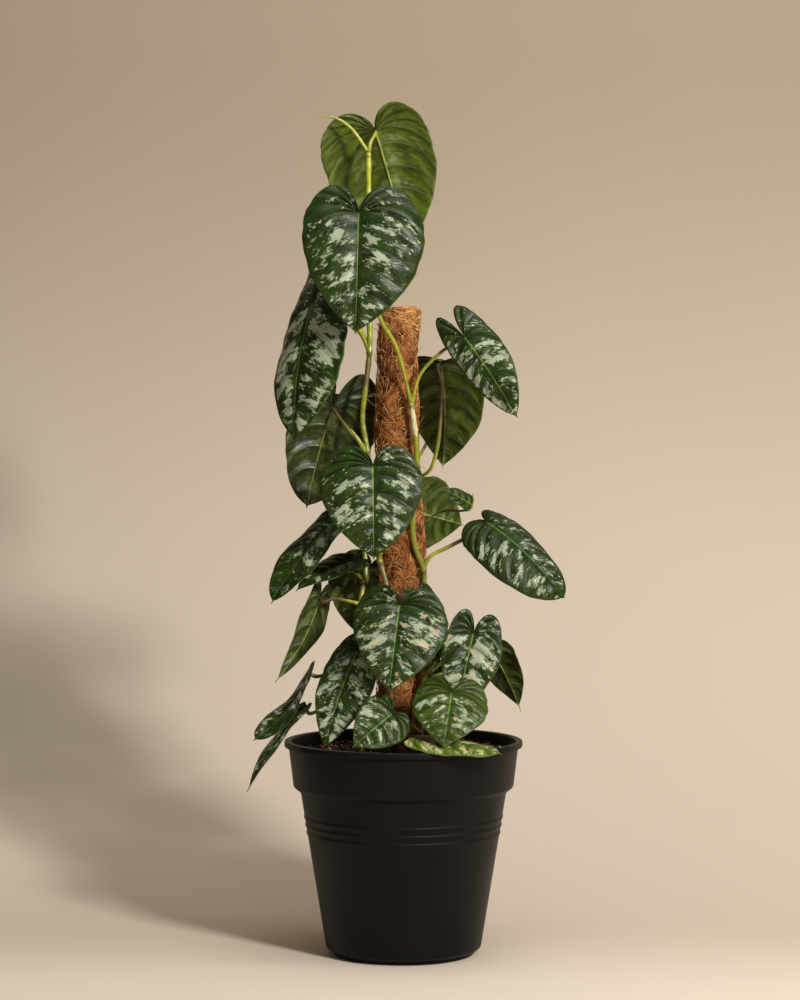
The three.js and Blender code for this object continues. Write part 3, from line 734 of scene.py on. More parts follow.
@dataclass(frozen=True)
class StemFinish:
    """Stems and petioles: glossy yellow green that turns olive, then brown, with age."""

    fresh: Colour = srgb(176, 180, 48)
    green: Colour = srgb(122, 130, 36)
    olive: Colour = srgb(104, 84, 36)
    brown: Colour = srgb(44, 30, 18)
    papery: Colour = srgb(214, 198, 170)

    def build(self, effects: Effects) -> Material:
        """Makes the material.

        Args:
            effects: The shared node groups.

        Returns:
            The material.
        """
        material, graph = new_material("stem")
        _, age, pale, _ = graph.attribute("growth")
        place = graph.place()
        cloud = effects.cloud(graph, place, 7.0, 0.8)
        aged = graph.plus(age, graph.times(graph.minus(cloud, 0.5), 0.22))
        colour = graph.mix(graph.between(aged, 0.0, 0.4), self.fresh, self.green)
        colour = graph.mix(graph.between(aged, 0.4, 0.75), colour, self.olive)
        colour = graph.mix(graph.between(aged, 0.75, 1.0), colour, self.brown)
        streaks = effects.streaks(graph, place, (1, 1, 0.12), 1.2)
        colour = graph.tint(colour, self.olive, streaks, 0.22)
        torn = graph.plus(pale, graph.times(graph.minus(streaks, 0.5), 1.1))
        paper = graph.between(torn, 0.55, 0.8)
        colour = graph.tint(colour, self.papery, paper, 0.75)
        roughness = graph.between(graph.plus(aged, paper), 0.3, 1.1, 0.26, 0.65)
        graph.surface(colour, roughness, graph.bump(streaks, 0.1), Specular_IOR_Level=0.55)
        return material


@dataclass(frozen=True)
class CoirFinish:
    """Coconut fibre: brown to orange strands, with painted shade where the mat is deep."""

    # The deep brown is the darkest fibre colour and also the colour of the painted shade.
    deep: Colour = srgb(52, 26, 10)
    brown: Colour = srgb(148, 88, 40)
    orange: Colour = srgb(216, 150, 82)
    straw: Colour = srgb(246, 214, 150)

    def build(self, effects: Effects, name: str, depth: float) -> Material:
        """Makes the material.

        Args:
            effects: The shared node groups.
            name: Name of the material.
            depth: How far it is darkened all over by painted shade, from 0 to 1.

        Returns:
            The material.
        """
        material, graph = new_material(name)
        _, tone, pit_shade, _ = graph.attribute("tone")
        place = graph.place()
        cloud = effects.cloud(graph, place, 14.0, 0.7)
        streaks = effects.streaks(graph, place, (1, 1, 0.4), 1.4)
        mixed = graph.plus(graph.times(tone, 0.75), graph.times(cloud, 0.3))
        colour = graph.mix(graph.between(mixed, 0.1, 0.5), self.deep, self.brown)
        colour = graph.mix(graph.between(mixed, 0.4, 0.85), colour, self.orange)
        colour = graph.mix(graph.between(mixed, 0.9, 1.0), colour, self.straw)
        colour = graph.tint(colour, self.brown, streaks, 0.35)
        # Painted shade: darker in the pits, and all over by depth.
        dark = graph.plus(graph.times(pit_shade, 0.6), depth, clamp=True)
        colour = graph.mix(dark, colour, self.deep)
        roughness = graph.between(streaks, 0.0, 1.0, 0.7, 0.95)
        graph.surface(colour, roughness, graph.bump(streaks, 0.3), Specular_IOR_Level=0.3)
        return material


@dataclass(frozen=True)
class SoilFinish:
    """Moist potting mix: near-black peat with brown and reddish crumbs."""

    wet: Colour = srgb(20, 14, 10)
    dry: Colour = srgb(58, 42, 30)
    bark: Colour = srgb(112, 72, 44)

    def build(self, effects: Effects) -> Material:
        """Makes the material.

        Args:
            effects: The shared node groups.

        Returns:
            The material.
        """
        material, graph = new_material("soil_mix")
        _, tone, _, _ = graph.attribute("tone")
        place = graph.place()
        cloud = effects.cloud(graph, place, 5.0, 0.9)
        grit = effects.cloud(graph, place, 0.9, 0.7)
        colour = graph.mix(cloud, self.wet, self.dry)
        colour = graph.mix(graph.between(tone, 0.5, 1.0), colour, self.bark)
        colour = graph.tint(colour, self.wet, grit, 0.45)
        roughness = graph.between(grit, 0, 1, 0.75, 1.0)
        graph.surface(colour, roughness, graph.bump(grit, 0.4), Specular_IOR_Level=0.2)
        return material


@dataclass(frozen=True)
class PerliteFinish:
    """Expanded perlite: chalk white grains with grey pits."""

    white: Colour = srgb(226, 222, 212)
    grey: Colour = srgb(150, 142, 130)

    def build(self, effects: Effects) -> Material:
        """Makes the material.

        Args:
            effects: The shared node groups.

        Returns:
            The material.
        """
        material, graph = new_material("perlite")
        pits = effects.cloud(graph, graph.place(), 0.7, 0.8)
        colour = graph.tint(self.white, self.grey, pits, 0.6)
        graph.surface(colour, 0.95, graph.bump(pits, 0.3), Specular_IOR_Level=0.2)
        return material


@dataclass(frozen=True)
class PotFinish:
    """Moulded black plastic with a faint grain, scuffs and a little dust."""

    black: Colour = srgb(7, 7, 6)
    worn: Colour = srgb(16, 16, 14)
    dust: Colour = srgb(96, 88, 78)

    def build(self, effects: Effects) -> Material:
        """Makes the material.

        Args:
            effects: The shared node groups.

        Returns:
            The material.
        """
        material, graph = new_material("pot_plastic")
        place = graph.place()
        cloud = effects.cloud(graph, place, 34.0, 0.6)
        scuffs = effects.streaks(graph, place, (0.08, 0.08, 1.0), 1.6)
        grain = effects.cloud(graph, place, 0.5, 0.7)
        dust = effects.dust.use(graph, Vector=place, Amount=0.12)["Mask"]
        colour = graph.tint(self.black, self.worn, cloud, 0.5)
        colour = graph.tint(colour, self.worn, scuffs, 0.14)
        colour = graph.mix(dust, colour, self.dust)
        polish = graph.between(cloud, 0, 1, 0.42, 0.5)
        roughness = graph.plus(polish, graph.times(dust, 0.4))
        height = graph.plus(graph.times(grain, 0.5), graph.times(scuffs, 0.3))
        graph.surface(colour, roughness, graph.bump(height, 0.05), Specular_IOR_Level=0.14)
        return material


@dataclass(frozen=True)
class StakeFinish:
    """Plain softwood with its grain along the stake."""

    light: Colour = srgb(186, 146, 98)
    dark: Colour = srgb(132, 94, 56)

    def build(self, effects: Effects) -> Material:
        """Makes the material.

        Args:
            effects: The shared node groups.

        Returns:
            The material.
        """
        material, graph = new_material("stake_wood")
        place = graph.place()
        grain = effects.streaks(graph, place, (1, 1, 0.04), 1.8)
        cloud = effects.cloud(graph, place, 20.0, 0.6)
        colour = graph.tint(self.light, self.dark, grain, 0.7)
        colour = graph.tint(colour, self.dark, cloud, 0.3)
        graph.surface(colour, graph.between(grain, 0, 1, 0.6, 0.8), graph.bump(grain, 0.15))
        return material


@dataclass(frozen=True)
class StageFinish:
    """Pale plain studio paper, which is only seen from its front."""

    # The front colour is a painted pool of light on the floor near the camera; the dark colour is painted
    # shade up the wall.
    front: Colour = srgb(224, 211, 194)
    light: Colour = srgb(209, 195, 177)
    dark: Colour = srgb(168, 153, 134)

    def build(self, effects: Effects) -> Material:
        """Makes the material, with painted shade that darkens it with height and a painted pool of light on
        the floor in front.

        Args:
            effects: The shared node groups.

        Returns:
            The material.
        """
        material, graph = new_material("stage_paper")
        place = graph.place()
        _, depth, height = graph.add("SeparateXYZ", {0: place}).outputs
        cloud = effects.cloud(graph, place, 300.0, 0.5)
        # Painted shade that grows with height, with the paper's own faint cloud.
        shade = graph.plus(graph.between(height, 150.0, 1150.0), graph.times(cloud, 0.08))
        # Painted light: the floor gets brighter towards the front.
        low = graph.mix(graph.between(depth, -220.0, 120.0), self.front, self.light)
        seen = graph.minus(1.0, graph.add("NewGeometry").outputs["Backfacing"])
        graph.surface(graph.mix(shade, low, self.dark), 0.95, Specular_IOR_Level=0.1, Alpha=seen)
        return material


@dataclass(frozen=True)
class BladeMesh:
    """Sizes that all the blades share, in millimetres unless they are counts or shares."""

    veins: int = 11
    rows_a_vein: int = 5
    columns: int = 22
    rib_columns: tuple[float, ...] = (0, 0.5, 1.0, 1.6, 2.8)
    shortest_row: float = 16
    vein_rise: float = 0.25
    vein_bow: float = 0.07
    ripples: float = 1.6
    ripple_shift: float = 0.2
    frill: float = 0.7
    nibble: float = 0.014
    middle_thickness: float = 0.7
    edge_thickness: float = 0.3
    rib_radius: float = 1.45
    quilt: float = 2.3
    groove: float = 0.3
    vein_height: float = 0.3


@dataclass(frozen=True)
class Leaf:
    """One heart-shaped leaf.

    Attributes:
        base: Where the petiole joins the blade.
        tip: End of the midrib.
        width: Width of the blade.
        faces: Which way the upper side looks.
        arch: Bend of the midrib, in degrees.
        fold: Rise of each half beside the midrib, in degrees.
        droop: Fall of each half at the margin, in degrees.
        twist: Turn of the blade about its midrib, in degrees.
        bow: How far the midrib's middle stands to one side.
        skew: Share by which one half is wider.
        wave: Height of the margin's waves.
        lobe: Depth of the lobes behind the petiole, in midrib lengths.
        blunt: How full the end of the blade is.
        drip: Length of the thin tip past the midrib's end.
        silver: How much of the upper side is silver.
        brown: How many of the silver patches have dried spots.
        warm: How yellow the blade is.
        shade: Painted shade: how much darker the blade is painted, for the shadow it stands in.
        small: Whether it is a tiny leaf on a thin petiole.
    """

    base: Point
    tip: Point
    width: float
    faces: Point
    arch: float = 24
    fold: float = 10
    droop: float = 22
    wave: float = 2
    twist: float = 0
    bow: float = 0
    skew: float = 0
    lobe: float = 0.24
    blunt: float = 0
    drip: float = 2.5
    silver: float = 0.55
    brown: float = 0
    warm: float = 0
    # Painted shade, for blades that stand in shadow.
    shade: float = 0
    small: bool = False

    def directions(self) -> tuple[Array, Array, Array, float]:
        """Gives the leaf's own frame.

        Returns:
            The directions along the chord, up and across, and the midrib's length.
        """
        chord = np.subtract(self.tip, self.base)
        along = unit(chord)
        up = np.asarray(self.faces, float)
        up = unit(up - along * (up @ along))
        bend = math.radians(self.arch)
        length = float(np.linalg.norm(chord)) * bend / (2 * math.sin(bend / 2))
        return along, up, np.cross(along, up), length

    def middle(self, v: Array) -> tuple[Array, Array, Array]:
        """Follows the midrib.

        Args:
            v: Shares along the midrib.

        Returns:
            Its points, and the blade's sideways and normal directions there.
        """
        along, up, across, length = self.directions()
        bend = math.radians(self.arch)
        reach = np.maximum(v, 0)
        spare = v - reach
        heading = bend * (0.5 - reach)
        forward = (math.sin(bend / 2) - np.sin(heading)) / bend + spare * math.cos(bend / 2)
        lift = (np.cos(heading) - math.cos(bend / 2)) / bend + spare * math.sin(bend / 2)
        shift = 4 * self.bow * v * (1 - reach)
        points = (
            np.asarray(self.base, float)
            + along * (length * forward)[..., None]
            + up * (length * lift)[..., None]
            + across * shift[..., None]
        )
        turn = (math.radians(self.twist) * (reach - 0.5))[..., None]
        lifted = up * np.cos(heading)[..., None] - along * np.sin(heading)[..., None]
        normal = lifted * np.cos(turn) + across * np.sin(turn)
        sideways = across * np.cos(turn) - lifted * np.sin(turn)
        return points, sideways, normal

    def surface(self, side: int, u: Array, v: Array) -> Array:
        """Gives points of the blade's middle surface.

        Args:
            side: 1 or -1, for the half.
            u: Shares across the half.
            v: Shares along the midrib.

        Returns:
            The points, in millimetres.
        """
        fold, droop = math.radians(self.fold), math.radians(self.droop)
        turn = fold + droop
        half = self.width / 2 * turn / (math.sin(fold) + math.sin(droop))
        reach = u * half * (1 + side * self.skew)
        slope = fold - turn * reach / half
        out = half * (math.sin(fold) - np.sin(slope)) / turn
        lift = half * (np.cos(slope) - math.cos(fold)) / turn
        shape = BLADE
        phase = 2 * np.pi * (shape.ripples * v + shape.ripple_shift * side)
        frill = shape.frill * self.width / 100 * np.sin(3.3 * phase + self.width) * u**4
        ripple = self.wave * u * u * np.sin(phase) + frill
        points, sideways, normal = self.middle(v)
        return points + sideways * (side * out)[..., None] + normal * (lift + ripple)[..., None]

    def outline(self) -> Array:
        """Gives the margin of one half, flat.

        Returns:
            Closely spaced points of u and v, from the notch to the tip.
        """
        lobe, blunt = self.lobe, self.blunt
        _, _, _, length = self.directions()
        end = 1 + self.drip / length
        neck = min(0.9 / self.width, 0.03)
        curves = np.array([
            [(0, -0.03), (0.04, -0.6 * lobe), (0.22, -1.04 * lobe), (0.46, -lobe)],
            [(0.46, -lobe), (0.78, -0.9 * lobe), (1, -0.02), (1, 0.22)],
            [(1, 0.22), (1, 0.5 + 0.3 * blunt), (0.46 + 0.5 * blunt, 0.84 + 0.14 * blunt), (neck * 2, 0.99)],
            [(neck * 2, 0.99), (neck, 1.0), (neck, end), (0, end)],
        ])
        t = np.linspace(0, 1, 60)[:, None]
        weights = ((1 - t) ** 3, 3 * t * (1 - t) ** 2, 3 * t * t * (1 - t), t**3)
        pieces = [sum(w * knot for w, knot in zip(weights, curve)) for curve in curves]
        line = np.concatenate([pieces[0][:1], *(piece[1:] for piece in pieces)])
        turn = np.linspace(0, 2 * np.pi, len(line)) + self.width
        bites = np.sin(5 * turn) + 0.6 * np.sin(12 * turn + 1) + 0.4 * np.sin(23 * turn + 2)
        uneven = BLADE.nibble * bites
        line[:, 0] *= 1 + uneven - 1.2 * BLADE.nibble
        return line

    def grid(self) -> dict[str, Array]:
        """Lays rows of points along the side veins of half a blade.

        Returns:
            Arrays of rows by columns: u, v, the share of each row, its vein number and its flat place.
        """
        shape = BLADE
        _, _, _, length = self.directions()
        edge = self.outline()
        steps = np.diff(edge * [self.width / 2, length], axis=0)
        reach = np.concatenate([[0], np.cumsum(np.hypot(steps[:, 0], steps[:, 1]))])
        veins = max(5, round(shape.veins * min(1, (self.width / 80) ** 0.4)))
        rows = veins * shape.rows_a_vein
        stations = np.linspace(0, 1, rows + 1)
        x = np.interp(stations * reach[-1], reach, edge[:, 0])[:, None]
        y = np.interp(stations * reach[-1], reach, edge[:, 1])[:, None]
        x[[0, -1]] = 0
        start = np.maximum(0, y - shape.vein_rise * x)
        start[-1] = y[-1]
        row_length = np.hypot(x * self.width / 2, (y - start) * length)
        columns = max(8, round(shape.columns * min(1, self.width / 70)))
        near = np.array(shape.rib_columns) / np.maximum(row_length, shape.shortest_row)
        spread = near[:, -1:] + (1 - near[:, -1:]) * np.linspace(0, 1, columns)[1:]
        share = np.concatenate([near, spread], axis=1)
        along = start + (y - start) * share - 4 * share * (1 - share) * shape.vein_bow * x
        return {
            "u": x * share,
            "v": along,
            "share": share,
            "vein": np.broadcast_to(stations[:, None] * veins, share.shape),
            "across": share * row_length,
            "down": np.broadcast_to(stations[:, None] * reach[-1], share.shape),
            "paint": np.stack([x * share * self.width / 2, along * length], axis=-1),
        }

    def relief(self, side: int, grid: dict[str, Array]) -> tuple[Array, Array]:
        """Works out how far the two faces stand off the middle surface.

        Args:
            side: 1 or -1, for the half.
            grid: The half's grid.

        Returns:
            Heights of the upper and the lower face, in millimetres along the normal.
        """
        shape = BLADE
        scale = min(1.0, self.width / 90)
        share, across = grid["share"], grid["across"]
        off_vein = np.abs(grid["vein"] - np.round(grid["vein"]))
        window = smooth(0.02, 0.3, share) * smooth(0, 0.35, 1 - share) * smooth(0, 0.08, 1 - grid["v"])
        between = np.sin(np.pi * off_vein) ** 2 * (0.8 + 0.2 * np.sin(grid["vein"] * 2.1 + side))
        quilt = shape.quilt * scale * between * window
        thick = shape.edge_thickness + (shape.middle_thickness - shape.edge_thickness) * (1 - share)
        radius = shape.rib_radius * scale * (1 - 0.75 * np.clip(grid["v"], 0, 1))
        rib = radius * np.sqrt(np.maximum(0, 1 - (across / np.maximum(radius, 1e-6)) ** 2))
        vein = shape.vein_height * scale * swell(off_vein, 0, 0.12) * (1 - share) * smooth(0, 0.1, share)
        dip = shape.groove * scale * swell(across, 0, 1.3)
        return thick / 2 + quilt - dip - vein * 0.5, -thick / 2 + quilt - rib - vein

    def normals(self, side: int, u: Array, v: Array) -> Array:
        """Works out which way the middle surface faces.

        Args:
            side: 1 or -1, for the half.
            u: Shares across the half.
            v: Shares along the midrib.

        Returns:
            The normals.
        """
        step = 1e-3
        across = self.surface(side, u + step, v) - self.surface(side, u - step, v)
        along = self.surface(side, u, v + step) - self.surface(side, u, v - step)
        normal = unit(np.cross(across, along)) * side
        return np.where((u < 1e-6)[..., None], self.middle(v)[2], normal)

    def add_to(self, batch: MeshBatch, seed: int) -> None:
        """Adds the closed blade to a batch.

        Args:
            batch: Takes the blade, with finish 0 on its upper and 1 on its under side.
            seed: Shifts the leaf's pattern.
        """
        grid = self.grid()
        shift = np.full_like(grid["u"], seed * PATTERN_SHIFT)
        rows, columns = grid["u"].shape
        numbers = np.arange(rows * columns).reshape(rows, columns)
        made, quads, rims = {}, [], []
        for half, side in enumerate((1, -1)):
            points = self.surface(side, grid["u"], grid["v"])
            normal = self.normals(side, grid["u"], grid["v"])
            above, below = self.relief(side, grid)
            arrays = {
                "upper": points + normal * above[..., None],
                "lower": points + normal * below[..., None],
                "key": np.stack([side * grid["u"], grid["v"]], axis=-1),
                "place": np.stack([grid["share"], grid["vein"], grid["v"]], axis=-1),
                "flat": np.stack([side * grid["across"], grid["down"], shift], axis=-1),
                "paint": np.stack([side * grid["paint"][..., 0], grid["paint"][..., 1], shift], axis=-1),
            }
            for label, array in arrays.items():
                made.setdefault(label, []).append(array.reshape(rows * columns, -1))
            here = numbers + half * rows * columns
            corners = [here[:-1, :-1], here[:-1, 1:], here[1:, 1:], here[1:, :-1]]
            faces = np.stack(corners, axis=-1).reshape(-1, 4)
            rim = np.stack([here[:-1, -1], here[1:, -1]], axis=-1)
            quads.append(faces if side > 0 else faces[:, ::-1])
            rims.append(rim if side > 0 else rim[:, ::-1])
        made = {label: np.concatenate(arrays) for label, arrays in made.items()}
        rounded = np.round(made["key"], 6) + 0.0
        _, first, merged = np.unique(rounded, axis=0, return_index=True, return_inverse=True)
        merged = merged.reshape(-1)
        under = len(first)
        top = merged[np.concatenate(quads)]
        rim = merged[np.concatenate(rims)]
        edge = np.stack([rim[:, 0], rim[:, 0] + under, rim[:, 1] + under, rim[:, 1]], axis=1)
        faces, finishes = [], []
        for group, finish in ((top, 0), (top[:, ::-1] + under, 1), (edge, 1)):
            cleaned = self.without_repeats(group)
            faces.append(cleaned)
            finishes.append(np.full(len(cleaned), finish))
        batch.add(
            np.concatenate([made["upper"][first], made["lower"][first]]),
            np.concatenate(faces),
            np.concatenate(finishes),
            **{label: np.tile(made[label][first], (2, 1)) for label in ("place", "flat", "paint")},
            trait=np.array([self.silver, self.brown, self.warm]),
            # The blade's painted shade goes to every corner for the materials.
            shade=np.full(3, self.shade),
        )

    @staticmethod
    def without_repeats(quads: Array) -> Array:
        """Makes triangles of the quads that use one corner twice and drops narrower ones.

        Args:
            quads: Corner numbers, four a face.

        Returns:
            Corner numbers, four a face, with -1 last in a triangle.
        """
        same = quads == np.roll(quads, -1, axis=1)
        whole = quads[same.sum(axis=1) == 0]
        folded = same.sum(axis=1) == 1
        keep = ~same[folded]
        triangles = quads[folded][keep].reshape(-1, 3)
        return np.concatenate([whole, np.pad(triangles, ((0, 0), (0, 1)), constant_values=-1)])

    def build(self, name: str, seed: int, materials: Sequence[Material]) -> None:
        """Builds the leaf's piece in place of its node.

        Args:
            name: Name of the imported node.
            seed: Shifts the leaf's pattern.
            materials: Upper and under side.
        """
        batch = MeshBatch()
        self.add_to(batch, seed)
        settle(batch.build(f"{name}_blade", materials), Slot.LEAF, name)


BLADE = BladeMesh()
PATTERN_SHIFT = 61.7

# A leaf's shade value is painted shade, for the shadow it stands in.
LEAVES = {
    "leaf_crown_back": Leaf(
        base=(-28, 2, 827), tip=(4, 22, 709), width=116, faces=(0.1, 1, 0.25), arch=34, fold=14,
        droop=26, skew=-0.08, lobe=0.2, warm=0.9,
    ),
    "leaf_crown_front": Leaf(
        base=(-44, -78, 738), tip=(-47, -84, 622), width=122, faces=(0.06, -1, 0.2), arch=30, fold=16,
        droop=26, skew=-0.1, silver=0.46, shade=0.15,
    ),
    "leaf_upper_left": Leaf(
        base=(-91, -25, 653), tip=(-108, -45, 519), width=90, faces=(-0.8, -0.9, 0.1), arch=26, fold=6,
        droop=30, twist=-24, skew=-0.16, lobe=0.6, blunt=0.25, silver=0.75,
    ),
    "leaf_upper_left_back": Leaf(
        base=(-72, 6, 549), tip=(-98, 18, 450), width=95, faces=(-0.5, 1, 0.25), arch=20, fold=12,
        droop=14, skew=0.16, wave=3, lobe=0.4, blunt=0.3, shade=0.45,
    ),
    "leaf_middle_front": Leaf(
        base=(-30, -70, 491), tip=(-29, -80, 402), width=103, faces=(0.02, -1, 0.2), arch=26, droop=24,
        wave=1.6, skew=0.04, silver=0.6,
    ),
    "leaf_upper_right": Leaf(
        base=(61, -45, 618), tip=(111, -60, 541), width=51, faces=(-0.2, -0.9, -0.1), arch=10, fold=3,
        droop=26, twist=18, skew=-0.08, bow=-2, lobe=0.36, blunt=0.2, silver=0.6,
    ),
    "leaf_upper_right_back": Leaf(
        base=(38, 20, 594), tip=(40, 34, 491), width=102, faces=(0.6, 1, 0.2), arch=30, droop=16,
        wave=3, lobe=0.05, warm=0.6,
    ),
    "leaf_arm_right": Leaf(
        base=(84, -35, 435), tip=(158, -62, 362), width=62, faces=(0.25, -0.85, 0.6), arch=70, fold=8,
        droop=30, skew=0.3, bow=6, wave=1.5, lobe=0.17, blunt=0.6, drip=0.5, silver=0.42, shade=0.15,
    ),
    "leaf_small_right": Leaf(
        base=(67, -12, 453), tip=(42, -20, 467), width=19, faces=(0.2, -0.9, 0.5), arch=14, fold=14,
        droop=12, wave=0.5, lobe=0.05, blunt=0.4, drip=1, small=True, silver=-1, warm=0.1,
    ),
    "leaf_middle_right_back": Leaf(
        base=(9, 45, 444), tip=(60, 62, 430), width=85, faces=(-0.3, 1, 0.35), arch=20, droop=16,
        warm=0.6, shade=0.15,
    ),
    "leaf_middle_left": Leaf(
        base=(-58, -6, 446), tip=(-130, -42, 357), width=57, faces=(-0.55, -0.6, 0.6), fold=14,
        droop=12, twist=-20, lobe=0.16, blunt=0.5, silver=0.4,
    ),
    "leaf_folded_left": Leaf(
        base=(-52, -8, 395), tip=(-105, -46, 369), width=44, faces=(-0.2, -0.55, 0.9), fold=14,
        droop=10, wave=1.5, silver=0.3,
    ),
    "leaf_striped_left": Leaf(
        base=(-33, 28, 388), tip=(-50, 42, 322), width=84, faces=(-0.3, 1, 0.4), arch=16, fold=8,
        droop=14, warm=0.45,
    ),
    "leaf_hanging_left": Leaf(
        base=(-84, -15, 358), tip=(-125, -20, 279), width=36, faces=(-0.7, 0.7, 0.1), arch=16, fold=14,
        droop=8, skew=0.1, bow=9, wave=1.5, lobe=0.2, drip=6,
    ),
    "leaf_outer_left_high": Leaf(
        base=(-94, -25, 284), tip=(-147, -50, 221), width=38, faces=(-0.72, -0.48, 0.65), arch=-36,
        fold=12, droop=10, twist=-50, wave=1.5, lobe=0.16, blunt=0.7, silver=0.5,
    ),
    "leaf_outer_left_low": Leaf(
        base=(-98, -45, 251), tip=(-151, -72, 177), width=40, faces=(-0.75, -0.3, 0.55), arch=14,
        fold=12, droop=10, skew=0.3, wave=1.5, lobe=0.07, drip=6, silver=0.5,
    ),
    "leaf_low_front": Leaf(
        base=(-4, -74, 355), tip=(-14, -99, 274), width=94, faces=(0, -1, 0.35), skew=-0.07, wave=1.6,
        silver=0.5, brown=0.8, shade=0.1,
    ),
    "leaf_low_left": Leaf(
        base=(-46, -50, 308), tip=(-77, -80, 217), width=66, faces=(-0.45, -1, 0.2), fold=16, droop=16,
        twist=-40, skew=-0.1, lobe=0.2, silver=0.6,
    ),
    "leaf_soil_front": Leaf(
        base=(-12, -90, 250), tip=(-48, -110, 221), width=54, faces=(0.12, -0.95, 0.35), arch=20,
        droop=16, wave=1.5, silver=0.6, warm=0.1,
    ),
    "leaf_low_right_high": Leaf(
        base=(69, -45, 325), tip=(50, -62, 246), width=60, faces=(0.1, -1, 0.25), arch=18, fold=14,
        droop=10, skew=-0.08, lobe=0.28, silver=0.7, brown=0.6,
    ),
    "leaf_low_right_front": Leaf(
        base=(47, -85, 270), tip=(39, -114, 221), width=76, faces=(0, -0.9, 0.6), arch=34, fold=8,
        droop=26, wave=1.6, lobe=0.36, silver=0.45, brown=0.5, warm=0.3,
    ),
    "leaf_low_right_back": Leaf(
        base=(88, 15, 306), tip=(117, 20, 248), width=50, faces=(0.6, 0.9, 0.3), arch=22, droop=12,
        lobe=0.1, drip=7,
    ),
    "leaf_on_rim": Leaf(
        base=(14, -92, 226), tip=(93, -109, 214), width=50, faces=(0, -0.2, 1), arch=10, fold=4,
        droop=26, wave=1, lobe=0.14, blunt=0.6, silver=0.95, brown=0.9, warm=0.9,
    ),
    "leaf_low_shaded": Leaf(
        base=(16, -36, 358), tip=(34, -42, 296), width=50, faces=(0.6, -0.8, 0.2), arch=14, droop=14,
        wave=1.5, silver=0.3,
    ),
    "leaf_back_high": Leaf(
        base=(-38, 44, 745), tip=(-34, 66, 668), width=72, faces=(-0.1, 1, 0.3), fold=12,
    ),
    "leaf_back_left": Leaf(
        base=(-58, 52, 545), tip=(-76, 84, 462), width=78, faces=(-0.4, 1, 0.35),
    ),
    "leaf_back_right": Leaf(
        base=(52, 68, 585), tip=(58, 96, 515), width=64, faces=(0.2, 1, 0.35),
    ),
    "leaf_back_middle": Leaf(
        base=(-14, 66, 470), tip=(-20, 92, 388), width=84, faces=(-0.1, 1, 0.35), arch=26,
    ),
    "leaf_back_low": Leaf(
        base=(0, 66, 322), tip=(-6, 98, 246), width=80, faces=(-0.1, 1, 0.35), arch=26,
    ),
    "leaf_back_soil": Leaf(
        base=(44, 58, 284), tip=(60, 88, 226), width=64, faces=(0.3, 1, 0.5), arch=26,
    ),
}


@dataclass(frozen=True)
class Petiole:
    """A leaf's stalk.

    Attributes:
        start: Where it leaves the stem.
        via: Points that it passes.
        broad: How many times wider its sheath is halfway.
        dark: Age at the leaf, from 0, fresh, to 1, dark brown.
    """

    start: Point
    via: tuple[Point, ...]
    broad: float = 1.0
    dark: float = 0.25


@dataclass(frozen=True)
class Spike:
    """A pointed sheath that wraps a new leaf."""

    points: tuple[Point, ...]
    radius: float = 1.5


